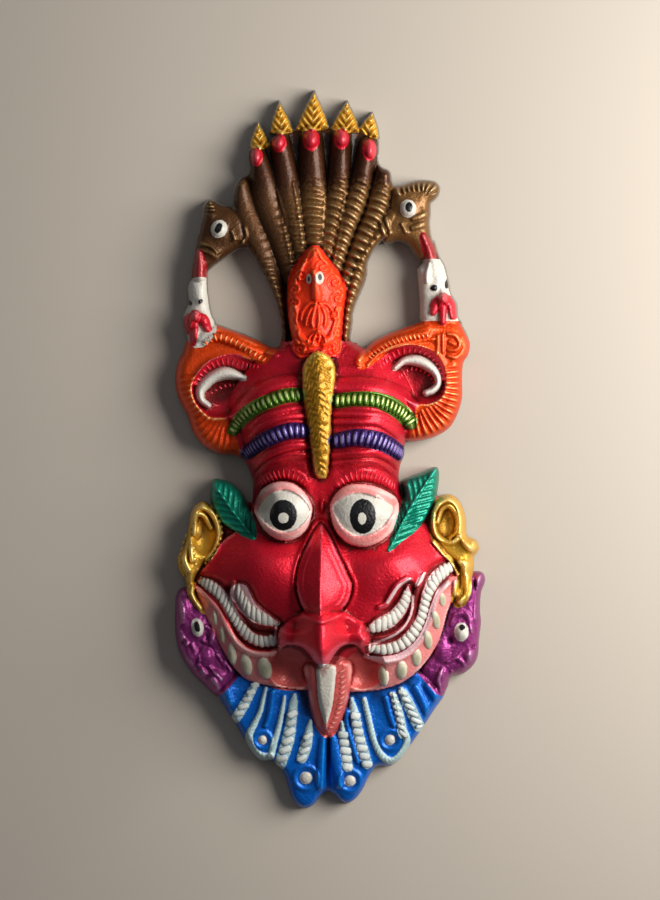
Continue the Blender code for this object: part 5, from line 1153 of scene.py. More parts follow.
def carve(cell):
    """The whole relief, and the distance in from the mask's own outline."""
    outlines = [HOOD, *BIRD_HEADS, *WHITE_HEADS, FIGURE, CLUB, *EARS, FACE, *LEAVES, *GOLD_EARS, *IMPS,
                BEARD, TONGUE, BACKING, *[crown_outline(*crown) for crown in CROWNS]]
    board = Board(cell, outlines)
    board.lay(board.inside(BACKING), 27, drop=9, radius=8)
    for step in CARVING_STEPS:
        step(board)
    whole = board.area(*outlines)
    for gap in GAPS:
        whole = np.minimum(whole, -board.inside(gap, reach=HEIGHT_PARTS))
    whole = np.where(np.abs(whole) < SNAP * cell, np.copysign(SNAP * cell, whole), whole)
    to_edge = np.sqrt(settle(np.where(whole > 0, FAR, 0.0), 1.0, cell, DEEPEST)) - cell
    whole = np.where(whole > 0, np.maximum(whole, to_edge), whole)
    steep = EDGE_LEVEL + EDGE_RISE * np.clip(whole, 0, None) ** EDGE_CURVE
    board.level = np.maximum(-soft_max(-board.level, -steep, EDGE_BLEND), EDGE_LEVEL)
    return board, whole


# The casting


def hollow(board, whole):
    """The level of the back: flat along the rim, and a wall's thickness under the relief inside it."""
    wall = SHELL_WALL / LEVEL
    rim = RIM_WIDTH / UNIT
    bend = 0.5 * UNIT / HOLLOW_BEND
    reach = 2 * HOLLOW_BEND / UNIT
    under = settle(np.where(whole > 0, board.level, 0.0), bend, board.cell, reach) - wall
    under = np.minimum(under, smear(under, board.cell, wall))
    return np.clip(np.minimum(under, RIM_SLOPE * (whole - rim)), 0, None)


def outline_cells(whole):
    """The faces between the grid's points and edge crossings inside the outline, and its rim edges."""
    rows, columns = whole.shape
    kept = whole > 0
    points = rows * columns
    number = np.arange(points).reshape(rows, columns)

    def part(grid, down, right):
        return grid[down:rows - 1 + down, right:columns - 1 + right].ravel()

    places = ((0, 0), (0, 1), (1, 1), (1, 0))
    corners = [part(number, *place) for place in places]
    level_edges = number + points
    upright_edges = number + 2 * points
    edges = [part(level_edges, 0, 0), part(upright_edges, 0, 1), part(level_edges, 1, 0),
             part(upright_edges, 0, 0)]
    case = sum(part(kept, *place).astype(int) << k for k, place in enumerate(places))
    faces = []
    rim = []
    for code in range(1, 16):
        chosen = case == code
        ring = []
        for k in range(4):
            here = code >> k & 1
            there = code >> (k + 1) % 4 & 1
            if here:
                ring.append((corners[k][chosen], False))
            if here != there:
                ring.append((edges[k][chosen], True))
        for (second, _), (third, _) in zip(ring[1:-1], ring[2:]):
            faces.append(np.stack([ring[0][0], second, third], axis=1))
        for (start, leaving), (end, entering) in zip(ring, ring[1:] + ring[:1]):
            if leaving and entering:
                rim.append(np.stack([start, end], axis=1))
    return np.concatenate(faces), np.concatenate(rim)


def crossing_points(board, whole):
    """The places of the grid's points, then of the crossings on its level and upright edges."""
    level_share = whole / (whole - np.roll(whole, -1, axis=1) + TINY)
    upright_share = whole / (whole - np.roll(whole, -1, axis=0) + TINY)
    x = [board.x, board.x + board.cell * np.clip(level_share, 0, 1), board.x]
    y = [board.y, board.y, board.y + board.cell * np.clip(upright_share, 0, 1)]
    return np.concatenate([v.ravel() for v in x]), np.concatenate([v.ravel() for v in y])


class Relief:
    """The carved relief with its back, set about the middle of the mask's outline."""

    def __init__(self, cell):
        self.board, self.whole = carve(cell)
        self.back = hollow(self.board, self.whole)
        x, y = crossing_points(self.board, self.whole)
        used = np.unique(outline_cells(self.whole)[0])
        self.middle = np.array([0.5 * (v[used].min() + v[used].max()) for v in (x, y)])
        self.soft = smear(self.board.level, cell, PAD_FOOTING)

    def cast(self, x, y, level):
        """Carving places as metres, with the casting's draft."""
        z = level * LEVEL
        draw = UNIT * (1 - CASTING_DRAFT * z)
        return np.stack([(x - self.middle[0]) * draw, (y - self.middle[1]) * draw, z], axis=1)

    def uncast(self, points):
        """Places in metres as carving places."""
        draw = UNIT * (1 - CASTING_DRAFT * points[:, 2])
        return points[:, 0] / draw + self.middle[0], points[:, 1] / draw + self.middle[1]

    def feel(self, field, x, y):
        """The values of a field of the board at these places."""
        column = np.clip((x - self.board.corner[0]) / self.board.cell, 0, field.shape[1] - 1.001)
        row = np.clip((y - self.board.corner[1]) / self.board.cell, 0, field.shape[0] - 1.001)
        left = column.astype(int)
        low = row.astype(int)
        s = column - left
        t = row - low
        return ((field[low, left] * (1 - s) + field[low, left + 1] * s) * (1 - t)
                + (field[low + 1, left] * (1 - s) + field[low + 1, left + 1] * s) * t)

    def rest(self, x, y, sink):
        """Where something lies on the relief, sunk by some levels, and the way out of it."""
        slope_y, slope_x = np.gradient(self.soft, self.board.cell)
        out = np.stack([-self.feel(slope_x, x, y), -self.feel(slope_y, x, y), np.ones(len(x))], axis=1)
        out /= np.linalg.norm(out, axis=1)[:, None]
        return self.cast(x, y, self.feel(self.soft, x, y) - sink), out


@functools.lru_cache
def carved_relief(cell):
    """The relief on cells of one size, carved once for all the pieces."""
    return Relief(cell)


def relief():
    return carved_relief(bpy.context.scene.mask_carving.cell / UNIT)


def casting_mesh(form):
    """The casting as one closed mesh: its relief, the walls of its outline and gaps, and its back."""
    board, whole = form.board, form.whole
    faces, rim = outline_cells(whole)
    used, faces_at = np.unique(faces, return_inverse=True)
    faces = faces_at.reshape(-1, 3)
    rim = np.searchsorted(used, rim)
    x, y = (values[used] for values in crossing_points(board, whole))
    on_grid = used < whole.size
    at = np.where(on_grid, used, 0)
    front = np.where(on_grid, board.level.ravel()[at], EDGE_LEVEL)
    back = np.where(on_grid, form.back.ravel()[at], 0.0)
    points = np.concatenate([form.cast(x, y, front), form.cast(x, y, back)])
    below = len(used)
    start, end = rim[:, 0], rim[:, 1]
    walls = [np.stack([end, start, start + below], axis=1),
             np.stack([end, start + below, end + below], axis=1)]
    triangles = np.concatenate([faces, faces[:, ::-1] + below] + walls)
    mesh = bpy.data.meshes.new("mask_casting")
    mesh.vertices.add(len(points))
    mesh.vertices.foreach_set("co", points.astype(np.float32).ravel())
    mesh.loops.add(3 * len(triangles))
    mesh.loops.foreach_set("vertex_index", triangles.astype(np.int32).ravel())
    mesh.polygons.add(len(triangles))
    mesh.polygons.foreach_set("loop_start", np.arange(0, 3 * len(triangles), 3, dtype=np.int32))
    mesh.update(calc_edges=True)
    mesh.validate()
    mesh.shade_smooth()
    return mesh


def paint_areas(board, whole):
    """How far inside each painted area every place of the board lies."""

    def stroke(lines, wider=0.0):
        field = np.full(board.x.shape, -REACH)
        for line in lines:
            track = board.follow(line)
            field[track.where] = np.maximum(field[track.where], track.half + wider - track.gap)
        return np.maximum(field, -REACH)

    def spots(places):
        return np.max([(1 - np.sqrt(board.oval(*place))) * min(place[2:4]) for place in places], axis=0)

    def soft_area(field, distance):
        """A field's area that starts at a soft border, from the distance past that border."""
        return np.where(field > 0, distance / SOFT_EDGE, -REACH)

    hood = board.area(HOOD)
    face = board.area(FACE)
    upper_lip = board.area(UPPER_LIP)
    skin = np.maximum(board.area(FACE, UPPER_LIP, BACKING), np.minimum(hood, HOOD_FOOT - board.y))
    right_head = np.where(board.x > 0, board.y - RIGHT_WHITE_HEAD_FOOT, REACH)
    teeth = OUTER_TEETH + INNER_TEETH
    buttons = [(x, y, BUTTON_PAINT * radius, BUTTON_PAINT * radius) for x, y, radius in BUTTONS]
    return {
        "face": skin,
        # Partly painted shade: a darker red over the forehead above a soft border.
        "brow": soft_area(skin, board.y - BROW_SHADE_FOOT),
        "beard": np.minimum(board.area(BEARD), -face),
        "imps": np.minimum(board.area(*IMPS), -face),
        "ears": board.area(*EARS),
        "ear_dishes": board.area(*EAR_DISHES),
        # Partly painted light: the gilt brightens the hood and the right side head towards the right.
        "sheen": soft_area(np.minimum(board.area(HOOD, BIRD_HEADS[1]), board.y - HOOD_FOOT),
                           board.x - LIT_SHEEN_SIDE),
        "hood_tops": soft_area(hood, board.y - HOOD_TOPS_FOOT),
        "lips": np.minimum(board.area(*GUMS, *LIDS), -upper_lip),
        "tongue": np.minimum(board.area(*CHINS, TONGUE), -upper_lip),
        # Painted shade inside the mouth and round the teeth.
        "mouth": np.maximum(stroke(teeth, MOUTH_SHADE_WIDER), board.area(*MOUTH_SHADES)),
        "teeth": stroke(teeth, TEETH_WIDER),
        # Partly painted highlight: pale pink along the lip ridges, nearly all on the right.
        "lip_rim": stroke(LIP_RIM_HIGHLIGHTS),
        "leaves": board.area(*LEAVES),
        "gold": board.area(*GOLD_EARS, *[crown_outline(*crown) for crown in CROWNS]),
        "figure": np.minimum(board.area(FIGURE), -board.area(CLUB)),
        "club": board.area(CLUB),
        "green": stroke(GREEN_RINGS),
        "violet": stroke(VIOLET_RINGS),
        "tongues": stroke(TONGUES),
        "heads": np.minimum(board.area(*WHITE_HEADS), np.minimum(WHITE_HEAD_TOP - board.y, right_head)),
        "cherry": np.maximum(stroke(BEAKS), spots(SNAKE_TIPS)),
        "loops": np.maximum(stroke(LOOPS), stroke(ROPES, ROPES_WIDER)),
        "white": np.max([board.area(LONG_TOOTH, *WHITES), stroke(TUSKS),
                         spots(WHITE_SPOTS + buttons)], axis=0),
        "black": spots(BLACK_SPOTS),
        "glints": spots(EYE_GLINTS),
        "edge": np.where(board.y > BARE_EDGE_FOOT, whole, whole + EDGE_METAL + 1),
    }


def vertex_values(mesh, name):
    """The places or the normals of a mesh's vertices."""
    values = np.empty(3 * len(mesh.vertices), np.float32)
    mesh.vertices.foreach_get(name, values)
    return values.reshape(-1, 3).astype(float)


def mark_paint(mesh, form):
    """Stores at each vertex how far it lies inside each painted area, and how it lies in the relief."""
    points = vertex_values(mesh, "co")
    x, y = form.uncast(points)
    board = form.board
    fields = {name: form.feel(field, x, y) for name, field in paint_areas(board, form.whole).items()}
    # How far each place stands above its smeared surroundings: painted shade where it sinks and painted
    # highlight, partly wear, where it stands out.
    raised = sum(share * (board.level - smear(board.level, board.cell, width))
                 for width, share in RAISED_SHARES)
    raised *= np.clip(form.whole / RAISED_RIM, RAISED_LEAST, 1)
    fields["raised"] = form.feel(raised, x, y)
    front = (vertex_values(mesh, "normal")[:, 2] > 0) & (form.feel(form.whole, x, y) > RIM_BARE)
    fields["under"] = np.where(front, 0, form.feel(board.level, x, y) - points[:, 2] / LEVEL)
    for name, values in fields.items():
        mesh.attributes.new(name, "FLOAT", "POINT").data.foreach_set("value", values.astype(np.float32))


def plain_mesh(obj):
    """Makes the object's evaluated shape its own mesh, and takes its modifiers off."""
    graph = bpy.context.evaluated_depsgraph_get()
    mesh = bpy.data.meshes.new_from_object(obj.evaluated_get(graph), preserve_all_data_layers=True,
                                           depsgraph=graph)
    obj.modifiers.clear()
    obj.data = mesh
    mesh.name = obj.name


def new_piece(name, mesh):
    piece = bpy.data.objects.new(name, mesh)
    bpy.context.scene.collection.objects.link(piece)
    return piece


# Shader building


def put(tree, socket, value):
    """Sets an input to a value, or joins it to another socket."""
    if isinstance(value, bpy.types.NodeSocket):
        tree.links.new(value, socket)
    else:
        socket.default_value = value


def add_node(tree, kind, inputs=None, **settings):
    """A node with its settings, and its inputs set to values or joined to sockets."""
    node = tree.nodes.new(kind)
    for name, value in settings.items():
        setattr(node, name, value)
    for name, value in (inputs or {}).items():
        put(tree, node.inputs[name], value)
    return node


def arithmetic(tree, operation, *values):
    """A Math node's result."""
    return add_node(tree, "ShaderNodeMath", dict(enumerate(values)), operation=operation).outputs[0]


def mixed(tree, share, a, b, colour=True):
    """Two colours, or two numbers, mixed by the share."""
    first = 6 if colour else 2
    node = add_node(tree, "ShaderNodeMix", {0: share, first: a, first + 1: b},
                    data_type="RGBA" if colour else "FLOAT")
    return node.outputs[2 if colour else 0]


def ramped(tree, value, low, high):
    """0 at low, 1 at high, and a smooth step between them."""
    node = add_node(tree, "ShaderNodeMapRange", {0: value, 1: low, 2: high},
                    interpolation_type="SMOOTHSTEP")
    return node.outputs[0]


def noise(tree, place, scale, detail=3.0, roughness=0.6):
    inputs = {"Vector": place, "Scale": scale, "Detail": detail, "Roughness": roughness}
    return add_node(tree, "ShaderNodeTexNoise", inputs).outputs[0]


def stored(tree, name):
    """A value that the mesh stores at its vertices."""
    return add_node(tree, "ShaderNodeAttribute", attribute_name=name).outputs["Fac"]


def place_of(tree):
    return add_node(tree, "ShaderNodeTexCoord").outputs["Object"]


def shader_group(name, inputs, outputs):
    """A node group with its sockets, and its input and output nodes."""
    tree = bpy.data.node_groups.new(name, "ShaderNodeTree")
    for label, value in inputs.items():
        kind = {float: "Float", tuple: "Color"}.get(type(value), "Vector")
        socket = tree.interface.new_socket(label, in_out="INPUT", socket_type="NodeSocket" + kind)
        if value is not None:
            socket.default_value = value
    for label, kind in outputs.items():
        tree.interface.new_socket(label, in_out="OUTPUT", socket_type="NodeSocket" + kind)
    return tree, tree.nodes.new("NodeGroupInput").outputs, tree.nodes.new("NodeGroupOutput").inputs


def use_group(tree, group, inputs):
    """The outputs of a node that holds the group, with its inputs set or joined."""
    return add_node(tree, "ShaderNodeGroup", inputs, node_tree=group).outputs


@functools.lru_cache
def paint_coat_group():
    """One coat of brushed paint over what is under it, with painted highlight, partly wear, on crests
    and painted shade in hollows.
    """
    tree, given, result = shader_group(
        "paint coat",
        {"Under Colour": BLACK, "Under Roughness": 0.5, "Under Metallic": 0.0, "Inside": 10.0,
         "Wobble": 0.5, "Colour": BLACK, "Hollow Colour": BLACK, "Crest Colour": BLACK,
         "Roughness": 0.4, "Metallic": 0.0, "Hollow": 0.0, "Crest": 0.0},
        {"Colour": "Color", "Roughness": "Float", "Metallic": "Float"})
    drift = arithmetic(tree, "MULTIPLY_ADD", given["Wobble"], 2 * COAT_DRIFT, -COAT_DRIFT)
    covered = ramped(tree, arithmetic(tree, "ADD", given["Inside"], drift), -COAT_EDGE, COAT_EDGE)
    # Painted shade: the hollow colour in what sinks. Painted highlight, partly wear: the crest colour on
    # top.
    paint = mixed(tree, given["Hollow"], given["Colour"], given["Hollow Colour"])
    paint = mixed(tree, given["Crest"], paint, given["Crest Colour"])
    tree.links.new(mixed(tree, covered, given["Under Colour"], paint), result["Colour"])
    for part in ("Roughness", "Metallic"):
        over = mixed(tree, covered, given["Under " + part], given[part], colour=False)
        tree.links.new(over, result[part])
    return tree


@functools.lru_cache
def enamel_group():
    """The gloss enamel's unevenness: cloudy thickness, fine stipple, and a dull brown in what lies low,
    partly dust and partly painted shade.
    """
    tree, given, result = shader_group(
        "enamel", {"Place": None, "Colour": BLACK, "Roughness": 0.4, "Hollow": 0.0, "Dust": 0.12},
        {"Colour": "Color", "Roughness": "Float", "Height": "Float"})
    clouds = noise(tree, given["Place"], CLOUD_SCALE)
    stipple = noise(tree, given["Place"], STIPPLE_SCALE, detail=2.0)
    brushing = noise(tree, given["Place"], BRUSH_SCALE, detail=4.0, roughness=0.7)
    shade = arithmetic(tree, "MULTIPLY_ADD", clouds, 0.5, 0.75)
    varied = add_node(tree, "ShaderNodeHueSaturation", {"Color": given["Colour"], "Value": shade})
    # Painted shade and dust together, patchy with the brushing, in the hollows.
    patchy = arithmetic(tree, "MULTIPLY", given["Hollow"], ramped(tree, brushing, 0.4, 0.7))
    dust_and_shade = arithmetic(tree, "MULTIPLY", given["Dust"], patchy)
    dusted_and_shaded = mixed(tree, dust_and_shade, varied.outputs[0], DUST_AND_SHADE_COLOUR)
    tree.links.new(dusted_and_shaded, result["Colour"])
    rough = arithmetic(tree, "MULTIPLY_ADD", brushing, 0.24, -0.12)
    tree.links.new(arithmetic(tree, "ADD", given["Roughness"], rough), result["Roughness"])
    height = arithmetic(tree, "MULTIPLY_ADD", brushing, 0.45, stipple)
    tree.links.new(height, result["Height"])
    return tree


def finish_enamel(material, colour, roughness, metallic, hollow, coat, bump_height):
    """Joins the painted colour to the shader through the enamel's unevenness and bump."""
    tree = material.node_tree
    enamel = use_group(tree, enamel_group(), {"Place": place_of(tree), "Colour": colour,
                                              "Roughness": roughness, "Hollow": hollow})
    bump = add_node(tree, "ShaderNodeBump", {"Strength": 0.5, "Distance": bump_height,
                                             "Height": enamel["Height"]})
    finish = {"Base Color": enamel["Colour"], "Roughness": enamel["Roughness"], "Metallic": metallic,
              "Normal": bump.outputs[0], "Coat Weight": coat, "Coat Roughness": 0.16,
              "Specular IOR Level": 0.3}
    for name, value in finish.items():
        put(tree, tree.nodes["Principled BSDF"].inputs[name], value)


def new_material(name):
    material = bpy.data.materials.new(name)
    material.use_nodes = True
    return material


def paint_values(name):
    """The coat's own inputs for a paint: its three colours, roughness and metallic."""
    return {"Colour": tuple(getattr(bpy.context.scene.mask_paints, name)) + (1.0,),
            "Hollow Colour": PAINTS[name].deep + (1.0,), "Crest Colour": PAINTS[name].worn + (1.0,),
            "Roughness": PAINTS[name].roughness, "Metallic": PAINTS[name].metallic}


def casting_material():
    """The whole casting's paint, laid on coat by coat, and the metal where it stays bare."""
    material = new_material("painted casting")
    tree = material.node_tree
    raised = stored(tree, "raised")
    # Each coat lays its hollow colour as painted shade in what sinks, and its crest colour, partly wear and
    # partly painted highlight, on what stands out.
    shared = {"Hollow": ramped(tree, arithmetic(tree, "MULTIPLY", raised, -1.0), *HOLLOW_RAMP),
              "Crest": ramped(tree, raised, *CREST_RAMP),
              "Wobble": noise(tree, place_of(tree), WOBBLE_SCALE, detail=2.0)}
    coats = [(stored(tree, area), paint) for area, paint in COATS]
    coats.append((arithmetic(tree, "SUBTRACT", EDGE_METAL, stored(tree, "edge")), "bare_metal"))
    coats.append((arithmetic(tree, "SUBTRACT", stored(tree, "under"), PAINT_FOOT), "bare_metal"))
    top = use_group(tree, paint_coat_group(), shared | paint_values(GROUND_PAINT))
    for inside, paint in coats:
        under = {"Under " + part: top[part] for part in ("Colour", "Roughness", "Metallic")}
        top = use_group(tree, paint_coat_group(),
                        shared | paint_values(paint) | under | {"Inside": inside})
    finish_enamel(material, top["Colour"], top["Roughness"], top["Metallic"], shared["Hollow"],
                  coat=0.2, bump_height=0.0009)
    return material


@functools.lru_cache
def pad_material(paint):
    """One paint on pads: painted shade round their feet and the crest colour on their tops, partly wear and
    partly painted highlight; on the lower teeth these are the white rim and the greenish middle.
    """
    material = new_material(paint + " pads")
    tree = material.node_tree
    crown = stored(tree, "crown")
    shares = {"Hollow": ramped(tree, crown, *PAD_HOLLOW_RAMP), "Crest": ramped(tree, crown, *PAD_CREST_RAMP)}
    coat = use_group(tree, paint_coat_group(), shares | paint_values(paint))
    finish_enamel(material, coat["Colour"], PAINTS[paint].roughness, PAINTS[paint].metallic,
                  shares["Hollow"], coat=0.12, bump_height=0.0005)
    return material


# Pads laid along lines


def pad_shape(name, ends):
    """A closed pad one unit each way: its two ends are round at 1, blunt below and pointed above."""
    rings = []
    for latitude in PAD_RINGS:
        reach = math.cos(math.radians(latitude))
        for k in range(PAD_SEGMENTS):
            turn = 2 * math.pi * (k + 0.5) / PAD_SEGMENTS
            c, s = math.cos(turn), math.sin(turn)
            narrow = abs(c) ** (ends[0] if s > 0 else ends[1])
            rings.append((math.copysign(narrow, c) * reach, s * reach, math.sin(math.radians(latitude))))
    top = len(rings)
    points = rings + [(0, 0, 1)]
    faces = [list(range(PAD_SEGMENTS))[::-1]]
    for ring in range(len(PAD_RINGS) - 1):
        for k in range(PAD_SEGMENTS):
            here = ring * PAD_SEGMENTS
            after = (k + 1) % PAD_SEGMENTS
            faces.append((here + k, here + after, here + after + PAD_SEGMENTS, here + k + PAD_SEGMENTS))
    last = top - PAD_SEGMENTS
    faces += [(last + k, last + (k + 1) % PAD_SEGMENTS, top) for k in range(PAD_SEGMENTS)]
    mesh = bpy.data.meshes.new(name)
    mesh.from_pydata(points, [], faces, shade_flat=False)
    crown = mesh.attributes.new("crown", "FLOAT", "POINT")
    crown.data.foreach_set("value", [max(0.0, point[2]) for point in points])
    return bpy.data.objects.new(name, mesh)


def field_value(tree, name, kind="FLOAT"):
    """A value that the geometry stores under this name."""
    return add_node(tree, "GeometryNodeInputNamedAttribute", {"Name": name}, data_type=kind).outputs[0]


@functools.lru_cache
def pads_tree(along_lines):
    """Lays one shape on the points, or along the lines, of a mesh that lies on the relief.

    Each point stores the way out of the relief, the pad's heading, and its half length and
    reach. A line stores how many pads it takes.
    """
    name = "pads along lines" if along_lines else "pads on points"
    tree = bpy.data.node_groups.new(name, "GeometryNodeTree")
    sockets = (("Geometry", "Geometry"), ("Shape", "Object"), ("Fill", "Float"), ("Rise", "Float"),
               ("Unevenness", "Float"), ("Seed", "Int"), ("Paint", "Material"))
    for label, kind in sockets:
        tree.interface.new_socket(label, in_out="INPUT", socket_type="NodeSocket" + kind)
    tree.interface.new_socket("Geometry", in_out="OUTPUT", socket_type="NodeSocketGeometry")
    given = tree.nodes.new("NodeGroupInput").outputs
    points = given["Geometry"]
    if along_lines:
        curve = add_node(tree, "GeometryNodeMeshToCurve", {"Mesh": given["Geometry"]}).outputs[0]
        count = add_node(tree, "FunctionNodeFloatToInt", {0: field_value(tree, "count")}).outputs[0]
        points = add_node(tree, "GeometryNodeResampleCurve", {"Curve": curve, "Count": count}).outputs[0]
    out = add_node(tree, "FunctionNodeAlignRotationToVector",
                   {"Vector": field_value(tree, "out", "FLOAT_VECTOR")}, axis="Z").outputs[0]
    rotation = add_node(tree, "FunctionNodeAlignRotationToVector",
                        {"Rotation": out, "Vector": field_value(tree, "heading", "FLOAT_VECTOR")},
                        axis="X", pivot_axis="Z").outputs[0]
    reach = arithmetic(tree, "MULTIPLY", field_value(tree, "reach"), given["Fill"])
    half = field_value(tree, "half")
    size = add_node(tree, "ShaderNodeCombineXYZ", {
        "X": reach, "Y": half, "Z": arithmetic(tree, "MULTIPLY", half, given["Rise"])}).outputs[0]
    least = arithmetic(tree, "SUBTRACT", 1.0, given["Unevenness"])
    most = arithmetic(tree, "ADD", 1.0, given["Unevenness"])
    uneven = add_node(tree, "FunctionNodeRandomValue", {2: least, 3: most, "Seed": given["Seed"]})
    size = add_node(tree, "ShaderNodeVectorMath", {0: size, "Scale": uneven.outputs[1]},
                    operation="SCALE").outputs[0]
    shape = add_node(tree, "GeometryNodeObjectInfo", {"Object": given["Shape"]}).outputs["Geometry"]
    pads = add_node(tree, "GeometryNodeInstanceOnPoints", {"Points": points, "Instance": shape,
                                                           "Rotation": rotation, "Scale": size}).outputs[0]
    pads = add_node(tree, "GeometryNodeRealizeInstances", {"Geometry": pads}).outputs[0]
    pads = add_node(tree, "GeometryNodeSetMaterial", {"Geometry": pads, "Material": given["Paint"]})
    result = tree.nodes.new("NodeGroupOutput")
    tree.links.new(pads.outputs[0], result.inputs[0])
    return tree


def guide_mesh(name, points, edges, fields):
    """A mesh of points, and edges between them, that carries what its pads need."""
    mesh = bpy.data.meshes.new(name)
    mesh.from_pydata(points.tolist(), edges, [])
    for label, values in fields.items():
        kind, part = ("FLOAT", "value") if values.ndim == 1 else ("FLOAT_VECTOR", "vector")
        mesh.attributes.new(label, kind, "POINT").data.foreach_set(part, np.ravel(values))
    return mesh


def lay_pads(name, guide, along_lines, ends, fill, rise, paint):
    """Makes one piece of pads from its guide, and rides it on the casting's body."""
    shape = pad_shape(name + "_shape", ends)
    piece = new_piece(name, guide)
    tree = pads_tree(along_lines)
    modifier = piece.modifiers.new("pads", "NODES")
    modifier.node_group = tree
    settings = {"Shape": shape, "Fill": fill, "Rise": rise, "Seed": len(name),
                "Unevenness": bpy.context.scene.mask_carving.unevenness, "Paint": pad_material(paint)}
    for item in tree.interface.items_tree:
        if item.in_out == "INPUT" and item.name in settings:
            modifier[item.identifier] = settings[item.name]
    plain_mesh(piece)
    bpy.data.objects.remove(shape, do_unlink=True)
    finish_piece(piece)


def finish_piece(piece):
    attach(piece, "root")


def lay_row(row):
    """One row of pads along each of its lines."""
    form = relief()
    edges = []
    gathered = collections.defaultdict(list)
    for line, pads, slants in zip(row.lines, row.counts, row.slants):
        curve = smooth_line(line)
        place, out = form.rest(curve[:, 0], curve[:, 1], row.sink)
        first = sum(map(len, gathered["place"]))
        edges += [(first + k, first + k + 1) for k in range(len(curve) - 1)]
        step = np.gradient(place, axis=0)
        along = np.concatenate([[0], np.cumsum(np.linalg.norm(np.diff(place, axis=0), axis=1))])
        slant = np.interp(along / along[-1], np.linspace(0, 1, len(slants)), np.radians(slants))
        side = np.cross(out, step)
        heading = step * np.cos(slant)[:, None] + side * np.sin(slant)[:, None]
        gathered["place"].append(place)
        gathered["out"].append(out)
        gathered["heading"].append(heading / np.linalg.norm(heading, axis=1)[:, None])
        gathered["half"].append(curve[:, 2] * UNIT * (1 - CASTING_DRAFT * place[:, 2]))
        gathered["reach"].append(0.5 * along[-1] / (pads - 1) * np.cos(slant))
        gathered["count"].append(np.full(len(curve), pads))
    fields = {name: np.concatenate(values) for name, values in gathered.items()}
    guide = guide_mesh(row.piece, fields.pop("place"), edges, fields)
    lay_pads(row.piece, guide, True, row.ends, row.fill, row.rise, row.paint)


def lay_studs(name, studs, ends, rise, sink, paint):
    """Single pads on the relief. A stud is its place, half width, half length and turn."""
    form = relief()
    x, y, across, along, turn = np.array(studs, float).T
    points, out = form.rest(x, y, sink)
    draw = UNIT * (1 - CASTING_DRAFT * points[:, 2])
    turn = np.radians(turn)
    heading = np.stack([np.cos(turn), np.sin(turn), np.zeros(len(turn))], axis=1)
    fields = {"half": along * draw, "reach": across * draw, "out": out, "heading": heading}
    guide = guide_mesh(name, points, [], fields)
    lay_pads(name, guide, False, ends, 1.0, rise, paint)


# Settings


class MaskCarving(bpy.types.PropertyGroup):
    """How finely the casting is carved."""

    cell: bpy.props.FloatProperty(
        name="Carving Cell", description="Distance between the carving board's points",
        default=0.00058, min=0.0003, unit="LENGTH", precision=5)
    most_triangles: bpy.props.IntProperty(
        name="Most Triangles", description="What the casting is thinned to", default=186000, min=10000)
    unevenness: bpy.props.FloatProperty(
        name="Unevenness", description="How much the teeth and ribs differ in size",
        default=0.06, min=0.0, max=0.5, subtype="FACTOR")


class MaskPaints(bpy.types.PropertyGroup):
    """The colour of each paint."""

    __annotations__ = {name: bpy.props.FloatVectorProperty(
        name=paint.label, description="Colour of the " + name.replace("_", " ") + " paint",
        default=paint.colour, min=0.0, max=1.0, subtype="COLOR") for name, paint in PAINTS.items()}


class MaskStage(bpy.types.PropertyGroup):
    """The floor, the lights and the camera."""

    camera_height: bpy.props.FloatProperty(
        name="Camera Height", description="How high the camera hangs over the mask's back",
        default=1.0, min=0.3, unit="LENGTH")
    key_power: bpy.props.FloatProperty(
        name="Key Light", description="Power of the softbox on the right", default=11.5, min=0.0,
        unit="POWER")
    fill_power: bpy.props.FloatProperty(
        name="Fill Light", description="Power of the wide softbox on the upper left", default=1.5,
        min=0.0, unit="POWER")
    floor_colour: bpy.props.FloatVectorProperty(
        name="Floor", description="Colour of the floor", default=(0.52, 0.47, 0.41), min=0.0, max=1.0,
        subtype="COLOR")


# Operators


class OBJECT_OT_mask_casting(bpy.types.Operator):
    """Carve, cast, thin and paint the mask's one casting"""

    bl_idname = "object.mask_casting"
    bl_label = "Casting"

    def execute(self, context):
        form = relief()
        casting = new_piece("mask_casting", casting_mesh(form))
        thin = casting.modifiers.new("fewer faces", "DECIMATE")
        thin.ratio = context.scene.mask_carving.most_triangles / len(casting.data.polygons)
        thin.use_collapse_triangulate = True
        plain_mesh(casting)
        mark_paint(casting.data, form)
        casting.data.shade_smooth()
        casting.data.materials.append(casting_material())
        finish_piece(casting)
        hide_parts("mask")
        return {"FINISHED"}


class OBJECT_OT_mask_rows(bpy.types.Operator):
    """Lay the rows of teeth, ribs, lashes, beads and rope turns along their lines"""

    bl_idname = "object.mask_rows"
    bl_label = "Teeth, Ribs and Ropes"

    def execute(self, context):
        for row in ROWS:
            lay_row(row)
        return {"FINISHED"}


class OBJECT_OT_mask_studs(bpy.types.Operator):
    """Set the oval lower teeth in the lip"""

    bl_idname = "object.mask_studs"
    bl_label = "Lower Teeth"

    def execute(self, context):
        lay_studs("lower_teeth", OVAL_TEETH, ends=(1.0, 1.0), rise=0.3, sink=0.5, paint="cream")
        return {"FINISHED"}


def softbox(name, place, size, power, colour):
    """A square light that faces the mask's middle."""
    light = bpy.data.lights.new(name, "AREA")
    light.size = size
    light.energy = power
    light.color = colour
    lamp = bpy.data.objects.new(name, light)
    lamp.location = place
    lamp.rotation_euler = mathutils.Vector(place).to_track_quat("Z", "Y").to_euler()
    bpy.context.scene.collection.objects.link(lamp)


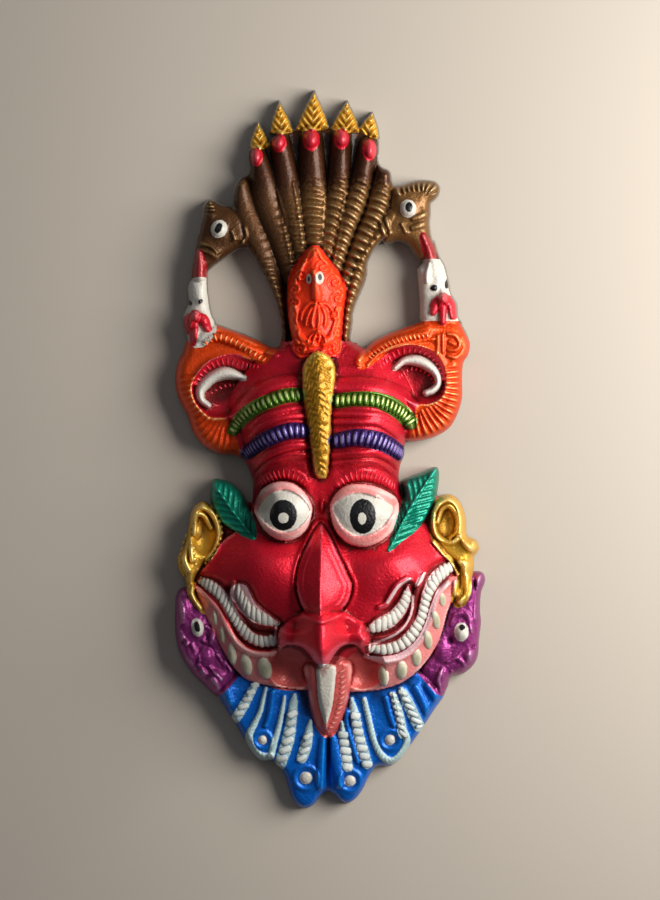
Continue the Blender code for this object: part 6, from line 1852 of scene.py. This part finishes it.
class OBJECT_OT_mask_stage(bpy.types.Operator):
    """Set up the floor, the softboxes and the camera over the mask"""

    bl_idname = "object.mask_stage"
    bl_label = "Stage"

    def execute(self, context):
        stage = context.scene.mask_stage
        corners = [(x * FLOOR_HALF, y * FLOOR_HALF, -FLOOR_DROP)
                   for x, y in ((-1, -1), (1, -1), (1, 1), (-1, 1))]
        mesh = bpy.data.meshes.new("floor")
        mesh.from_pydata(corners, [], [(0, 1, 2, 3)])
        floor = new_piece("floor", mesh)
        material = new_material("floor paper")
        shader = material.node_tree.nodes["Principled BSDF"]
        shader.inputs["Base Color"].default_value = tuple(stage.floor_colour) + (1.0,)
        shader.inputs["Roughness"].default_value = 0.9
        mesh.materials.append(material)
        softbox("key", (0.62, 0.18, 0.48), size=0.55, power=stage.key_power, colour=(1.0, 0.96, 0.90))
        softbox("fill", (-0.5, 0.7, 1.3), size=1.4, power=stage.fill_power, colour=(0.92, 0.95, 1.0))
        world = bpy.data.worlds.new("studio")
        world.use_nodes = True
        sky = world.node_tree.nodes["Background"].inputs
        sky["Color"].default_value = (0.9, 0.92, 1.0, 1.0)
        sky["Strength"].default_value = 0.08
        context.scene.world = world
        lens = bpy.data.cameras.new("camera")
        lens.lens = lens.sensor_width * stage.camera_height / (PHOTO_HEIGHT * UNIT)
        camera = bpy.data.objects.new("camera", lens)
        middle = relief().middle
        camera.location = (-middle[0] * UNIT, -middle[1] * UNIT, stage.camera_height)
        context.scene.collection.objects.link(camera)
        context.scene.camera = camera
        context.scene.view_settings.view_transform = "Standard"
        return {"FINISHED"}


class VIEW3D_PT_kirtimukha(bpy.types.Panel):
    """The mask's pieces and settings"""

    bl_label = "Kirtimukha Mask"
    bl_space_type = "VIEW_3D"
    bl_region_type = "UI"
    bl_category = "Mask"

    def draw(self, context):
        for step in OPERATORS:
            self.layout.operator(step.bl_idname)
        for group in SETTINGS:
            settings = getattr(context.scene, group)
            for name in settings.bl_rna.properties.keys():
                if name not in ("rna_type", "name"):
                    self.layout.prop(settings, name)


OPERATORS = (OBJECT_OT_mask_casting, OBJECT_OT_mask_rows, OBJECT_OT_mask_studs, OBJECT_OT_mask_stage)
SETTINGS = {"mask_carving": MaskCarving, "mask_paints": MaskPaints, "mask_stage": MaskStage}


def register():
    for cls in (*SETTINGS.values(), *OPERATORS, VIEW3D_PT_kirtimukha):
        bpy.utils.register_class(cls)
    for name, group in SETTINGS.items():
        setattr(bpy.types.Scene, name, bpy.props.PointerProperty(type=group))


def unregister():
    for name in SETTINGS:
        delattr(bpy.types.Scene, name)
    for cls in (*SETTINGS.values(), *OPERATORS, VIEW3D_PT_kirtimukha):
        bpy.utils.unregister_class(cls)


def main():
    register()
    bpy.ops.object.mask_casting()
    bpy.ops.object.mask_rows()
    bpy.ops.object.mask_studs()
    bpy.ops.object.mask_stage()


if __name__ == "__main__":
    main()
